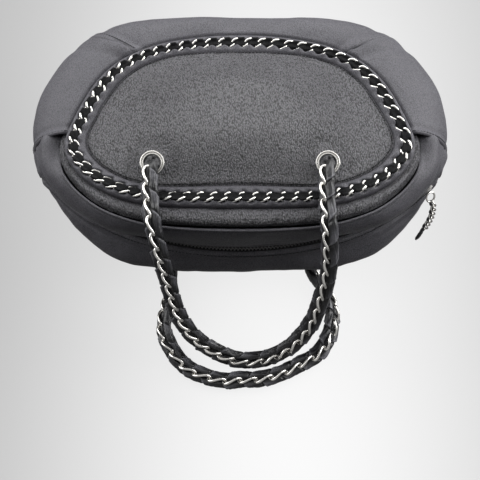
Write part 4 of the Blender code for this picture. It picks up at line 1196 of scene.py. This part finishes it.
tape_half, tape_gap = 12.0 * mm, 1.4 * mm  # the outer and the inner edge of a tape
tape_end = 7.4
tape_u = np.linspace(-tape_end, tape_end, 200)
tooth_step, tooth_out, tooth_aside = 3.2 * mm, -1.5 * mm, 1.7 * mm
tooth_size = (1.5 * mm, 4.4 * mm, 1.8 * mm)
tooth_count = int(2 * zip_half_angle * zip_radius / tooth_step)
for rear, word in faces:
    v = rows_between(height_row(tape_u, tape_half), height_row(tape_u, tape_gap), np.linspace(0, 1, 8))
    tape = laid("tape_" + word, tape_u, v, -2.6 * mm, tape_weave, 0.6 * mm, rear=rear)
    settle(tape, "bag", "zip_tape", "zip_tape_" + word)
    way, shift = (-1, 0.5) if rear else (1, 0)  # the rows' teeth alternate
    spots = [zip_spot(zip_half_angle * (2 * (index + shift) / tooth_count - 1), tooth_out,
                      way * tooth_aside) for index in range(tooth_count)]
    teeth = copies(block("tooth", tooth_size, 0.35 * mm, gunmetal), spots, "teeth_" + word)
    settle(teeth, "bag", "silver_metal", "zip_teeth_" + word)
print("teeth in a row:", tooth_count)

# %% [markdown]
# A folded tab of leather closes the zip's groove at each end.

# %% Zip tabs
tab_half, tab_wall, tab_depth = 6.6 * mm, 2.2 * mm, 1.2 * mm
tab_stations = np.linspace(6.85, 7.75, 24)
for name, tab_u in (("right", tab_stations), ("left", -tab_stations[::-1])):
    v = rows_between(height_row(tab_u, tab_half), height_row(tab_u, -tab_half), np.linspace(0, 1, 24))
    places, inner, outer = gaps(tab_u, v)
    mound = 2.6 * mm * smooth_step(np.minimum(inner, outer) / (3 * mm))
    lift = -tab_depth + (mound + soft_noise(places, 4 * mm, 7) * 0.3 * mm)
    tab = laid("tab_" + name, tab_u, v, lift, lace_leather, tab_wall)
    settle(tab, "bag", "grained_leather", "zip_tab_" + name)
print("zip tab:", round(2 * tab_half / mm, 1), "mm wide")

# %% [markdown]
# The slider has two plates, above and below the teeth, and a bridge that holds the pull. It keeps the
# CAD part's place near the right end of the zip's arc.

# %% Slider
slider_angle = zip_half_angle - 12 * mm / zip_radius
plate_size, plate_out = (12 * mm, 9.5 * mm, 1.3 * mm), 2.4 * mm
quarter_turn = math.radians(90)
parts = []
for way in (1, -1):
    plate = block("plate", plate_size, 0.5 * mm, gunmetal)
    plate.data.transform(zip_spot(slider_angle, tooth_out)
                         @ Matrix.Rotation(quarter_turn, 4, "X")
                         @ Matrix.Translation((0, 0, way * plate_out)))
    parts.append(plate)
# The bridge's arch, in mm.
arch = [(-3.6, 0, 0), (-3.4, 0, 2.2), (-2, 0, 3.4), (0, 0, 3.7), (2, 0, 3.4), (3.4, 0, 2.2),
        (3.6, 0, 0)]
bridge = wire("bridge", smooth_line(np.array(arch) * mm, 0.4 * mm), 0.8 * mm, gunmetal)
bridge.data.transform(zip_spot(slider_angle, tooth_out, 2.9 * mm)
                      @ Matrix.Rotation(-quarter_turn, 4, "X"))
slider = settle(joined(parts + [bridge], "slider_body"), "slider", "silver_metal", "zip_slider")
print("slider:", len(slider.data.polygons), "faces")

# %% [markdown]
# The pull is a ring, a short curb chain with a strand of leather laced through it, and a leather tip.
# It hangs over the swell of the leather below the zip. Its line is a table of shares of its length:
# back along the zip, out of the bag, and down.

# %% Pull
pull_length = 64 * mm
pull_shares = np.array([(0, 0, 0), (0.01, 0.13, 0.16), (0.05, 0.20, 0.42), (0.13, 0.22, 0.70),
                        (0.24, 0.24, 0.95)])
pull_step = 0.4  # in mm, as are the places where chain and tip begin
chain_from, chain_to, tip_from = (int(place / pull_step) for place in (8.4, 48.5, 47))
pull_pitch = 5.6 * mm
ring_radius, ring_wire = 4.6 * mm, 0.85 * mm
hang = np.array(zip_spot(slider_angle, 5.2 * mm).translation)
way_out = np.array([math.sin(slider_angle), -math.cos(slider_angle), 0])
way_along = np.array([math.cos(slider_angle), math.sin(slider_angle), 0])
pull_line = hang + pull_length * (way_out * pull_shares[:, 1:2] - way_along * pull_shares[:, 0:1]
                                  + np.array([0, 0, -1.0]) * pull_shares[:, 2:3])
pull_line = smooth_line(pull_line, pull_step * mm)
pull_facing = np.array([way_out + (0, 0, 0.3), way_out, way_out])
turn = np.linspace(0, math.tau, 28, endpoint=False)[:, None]
ring_way = pull_line[12] - pull_line[0]  # the ring hangs in the pull's own direction
ring_way /= np.linalg.norm(ring_way)
ring_side = np.cross(way_out, ring_way)
ring_side /= np.linalg.norm(ring_side)
ring_points = (pull_line[0] + ring_way * 4.2 * mm
               + ring_radius * (ring_way * np.cos(turn) + ring_side * np.sin(turn)))
settle(wire("pull_ring", ring_points, ring_wire, nickel, True), "pull", "silver_metal", "zip_ring")
chain_part = pull_line[chain_from:chain_to]
small = curb_link("link", pull_pitch, 2.3 * mm, 0.8 * mm, math.radians(-50), 22)
spots = chain_spots(chain_part, pull_facing, pull_pitch, 0.9 * mm)
settle(copies(small, spots, "pull_chain"), "pull", "silver_metal", "zip_pull_chain")
_, facing, side = directions(chain_part, pull_facing)
sway = np.sin(np.arange(len(chain_part)) * pull_step * mm / pull_pitch * math.pi)[:, None]
weave = chain_part - facing * 0.6 * mm + side * 1.7 * mm * sway
strand = wire("pull_strand", even_line(weave, 0.8 * mm), 1.35 * mm, lace_leather)
settle(strand, "pull", "lace_leather")
tip = plait("pull_tip", even_line(pull_line[tip_from:], 0.5 * mm), pull_facing, lace_leather, 17, 0.5)
settle(tip, "pull", "lace_leather", "zip_pull_leather")
print("links in the pull:", len(spots))

# %% [markdown]
# ## Stitches
# Every seam is sewn with bonded nylon. A stitch is a short arc of thread that dips into its holes.
# One is modelled and copied along each seam, five to every 16 mm.

# %% Stitches
stitch_pitch, thread_radius = 3.2 * mm, 0.3 * mm
stitch_arc = np.array([(-1.3, 0, -0.5), (-0.9, 0, 0.05), (0, 0, 0.3), (0.9, 0, 0.05),
                       (1.3, 0, -0.5)]) * mm


def stitched(name, u, v, lift, rear=False):
    """A row of stitches along a line on the bag."""
    v = full_turn - v if rear else v
    line, normal = skin(u, v, lift), outward(u, v)
    run = run_along(line)
    spots = []
    for goal in np.arange(stitch_pitch / 2, run[-1] - stitch_pitch / 2, stitch_pitch):
        place = read_line(goal, run, line)
        ahead = read_line(goal + 0.3 * mm, run, line)
        spots.append(axes_at(place, ahead - place, read_line(goal, run, normal)))
    stitch = wire("stitch", stitch_arc, thread_radius, thread_nylon, False, 1)
    return settle(copies(stitch, spots, name), "bag", "lace_leather")


seam_u = np.linspace(0, stations, 1401)
face_seam = travel(seam_u, 1.0, -seam_in - 2.2 * mm)
zip_u = np.linspace(-7.3, 7.3, 700)
zip_seam = height_row(zip_u, zip_channel_half + 3.2 * mm)
for rear, word in faces:
    stitched("stitches_face_" + word, seam_u, face_seam, -0.1 * mm, rear)
    stitched("stitches_zip_" + word, zip_u, zip_seam, 0.7 * mm, rear)
seam_v = np.linspace(1.18, full_turn - 1.18, 900)
side_seam, base_seam = 7.63 + 0 * seam_v, 2.42 + 0 * seam_v  # from the zip's and the base's middle
for name, sign in (("right", 1), ("left", -1)):
    stitched("stitches_side_" + name, sign * side_seam, seam_v, 0.85 * mm)
    row = stitched("stitches_base_" + name, base_station - sign * base_seam, seam_v, 0.9 * mm)
print("a row of stitches:", len(row.data.polygons), "faces")

# %% [markdown]
# ## The inside
# The bag has a loose cotton lining with a patch pocket on its rear, and a board stiffens the base.
# None of them shows while the zip is closed, so the board and the washers behind the eyelets keep
# their plain CAD form and only get a material.

# %% Inside
lining_depth, pocket_depth, cloth_wall = 6.4 * mm, 8.6 * mm, 0.5 * mm
lining_u = np.linspace(0, stations, 169)
at_zip = np.abs((lining_u + base_station) % stations - base_station) < base_station / 2
lining_end = height_row(lining_u, np.where(at_zip, 7.2 * mm, 0.2 * mm))  # it stops beside the tapes
v = rows_between(0 * lining_end, lining_end, np.concatenate([[0], np.linspace(0.06, 1, 40)]))
folds = soft_noise(surface(lining_u[:, None], v), 22 * mm, 81) * 0.9 * mm
for rear, word in faces:
    cloth = laid("lining_" + word, lining_u, v, folds - lining_depth, lining_weave, cloth_wall,
                 closed=True, rear=rear)
    settle(cloth, "bag", "lining_cloth", *(["lining"] if rear else []))
pocket_u = np.linspace(9, 19, 60)
v = rows_between(0.32 + 0 * pocket_u, 0.88 + 0 * pocket_u, np.linspace(0, 1, 24))
pocket = laid("pocket", pocket_u, v, -pocket_depth, lining_weave, cloth_wall, rear=True)
settle(pocket, "bag", "lining_cloth", "inner_pocket")
kept = {name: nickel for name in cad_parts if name.startswith("washer")}
kept["base_board"] = fibre_board
for name, material in kept.items():
    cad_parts[name].data.materials.clear()
    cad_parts[name].data.materials.append(material)
print("CAD pieces that only get a material:", sorted(kept))

# %% [markdown]
# ## The backdrop
# The photo's backdrop is a pale paper that is lit by itself: bright in front of the bag and greyer far
# away. The floor therefore glows, but only in what the camera sees and, dimmed, in what the metal
# mirrors. It doesn't light the bag, so the shadows in the leather stay dark.

# %% Backdrop
bpy.ops.mesh.primitive_plane_add(size=24, location=(0, 0, -0.5 * mm))
floor = bpy.context.object
floor.name = "floor"
bright_spot, spot_shape = (0.045, -0.078, 0), (1, 0.35, 1)  # where it is brightest, and how wide
seen_grey, mirrored_grey = "565656", "343434"
near_glow, far_glow, wall_glow = "efefef", "a2a2a2", "c8c8c8"
floor_paper, floor_tree, floor_shader = new_material("paper_backdrop", seen_grey, 0, 0.95, 0.1)
ray = add_node(floor_tree, "ShaderNodeLightPath")
paper_tone = add_node(floor_tree, "ShaderNodeMix", [(ray, "Is Camera Ray", "Factor")],
                      {6: colour(mirrored_grey), 7: colour(seen_grey)}, data_type="RGBA")
floor_place = add_node(floor_tree, "ShaderNodeTexCoord")
wide = add_node(floor_tree, "ShaderNodeVectorMath", [(floor_place, "Object", 0)], {1: spot_shape},
                operation="MULTIPLY")
distance = add_node(floor_tree, "ShaderNodeVectorMath", [(wide, "Vector", 0)], {1: bright_spot},
                    operation="DISTANCE")
far = add_node(floor_tree, "ShaderNodeMapRange", [(distance, "Value", "Value")],
               interpolation_type="SMOOTHSTEP", From_Min=0.0, From_Max=0.40)
glow = add_node(floor_tree, "ShaderNodeMix", [(far, "Result", "Factor")],
                {6: colour(near_glow), 7: colour(far_glow)}, data_type="RGBA")
beyond = add_node(floor_tree, "ShaderNodeMapRange", [(distance, "Value", "Value")],
                  interpolation_type="SMOOTHSTEP", From_Min=0.45, From_Max=1.2)
wall = add_node(floor_tree, "ShaderNodeMix", [(beyond, "Result", "Factor"), (glow, 2, 6)],
                {7: colour(wall_glow)}, data_type="RGBA")
fading = add_node(floor_tree, "ShaderNodeMapRange", [(far, "Result", "Value")],
                  To_Min=0.30, To_Max=0.25)
shine = add_node(floor_tree, "ShaderNodeMath",
                 [(ray, "Is Glossy Ray", 0), (fading, "Result", 1)], operation="MULTIPLY")
seen = add_node(floor_tree, "ShaderNodeMath", [(ray, "Is Camera Ray", 0), (shine, "Value", 1)],
                operation="MAXIMUM")
floor_tree.links.new(paper_tone.outputs[2], floor_shader.inputs["Base Color"])
floor_tree.links.new(wall.outputs[2], floor_shader.inputs["Emission Color"])
floor_tree.links.new(seen.outputs["Value"], floor_shader.inputs["Emission Strength"])
floor.data.materials.append(floor_paper)
print("floor at", round(floor.location.z / mm, 1), "mm")

# %% [markdown]
# ## The room
# The studio is dark, so the leather's shadows stay deep. It is brighter only where the camera looks
# past the floor, and where metal and gloss mirror it, because polished links need something pale to
# mirror or they look black.

# %% Room
room_light, room_seen, room_mirrored = 0.045, 0.6, 0.48
world = bpy.data.worlds.new("studio")
bpy.context.scene.world = world
world.use_nodes = True
sky = world.node_tree.nodes["Background"]
world_ray = add_node(world.node_tree, "ShaderNodeLightPath")
sky_seen, sky_mirrored = [
    add_node(world.node_tree, "ShaderNodeMapRange", [(world_ray, kind, "Value")],
             To_Min=room_light, To_Max=level)
    for kind, level in (("Is Camera Ray", room_seen), ("Is Glossy Ray", room_mirrored))]
sky_level = add_node(world.node_tree, "ShaderNodeMath",
                     [(sky_seen, "Result", 0), (sky_mirrored, "Result", 1)], operation="MAXIMUM")
world.node_tree.links.new(sky_level.outputs["Value"], sky.inputs["Strength"])
sky.inputs["Color"].default_value = colour("ffffff")
bpy.context.scene.view_settings.view_transform = "Standard"
print("room light:", room_light)

# %% [markdown]
# ## The lamps
# Three large soft boxes stand low round the bag, as in a product studio: one beyond its base and one
# at each side. They graze the grain and the folds, and the zip side, which is turned away from them,
# stays dark. A weak lamp above only opens the shadows of the face.

# %% Lamps
def soft_lamp(name, place, aim_height, size, power):
    """A soft box that looks at the bag's middle line."""
    data = bpy.data.lights.new(name, "AREA")
    data.shape = "RECTANGLE"
    data.size, data.size_y = size
    data.energy = power
    lamp = bpy.data.objects.new(name, data)
    bpy.context.scene.collection.objects.link(lamp)
    lamp.location = place
    aim = Vector((0, 0, aim_height))
    lamp.rotation_euler = (aim - Vector(place)).to_track_quat("-Z", "Y").to_euler()


soft_lamp("base_side_lamp", (0.0, 1.28, 0.86), 0.08, (2.2, 1.2), 30)
soft_lamp("top_lamp", (0.0, 0.05, 1.45), 0.08, (1.4, 0.8), 3)
soft_lamp("right_lamp", (1.22, 0.38, 0.64), 0.05, (1.3, 1.2), 28)
soft_lamp("left_lamp", (-1.22, 0.38, 0.64), 0.05, (1.3, 1.2), 19)
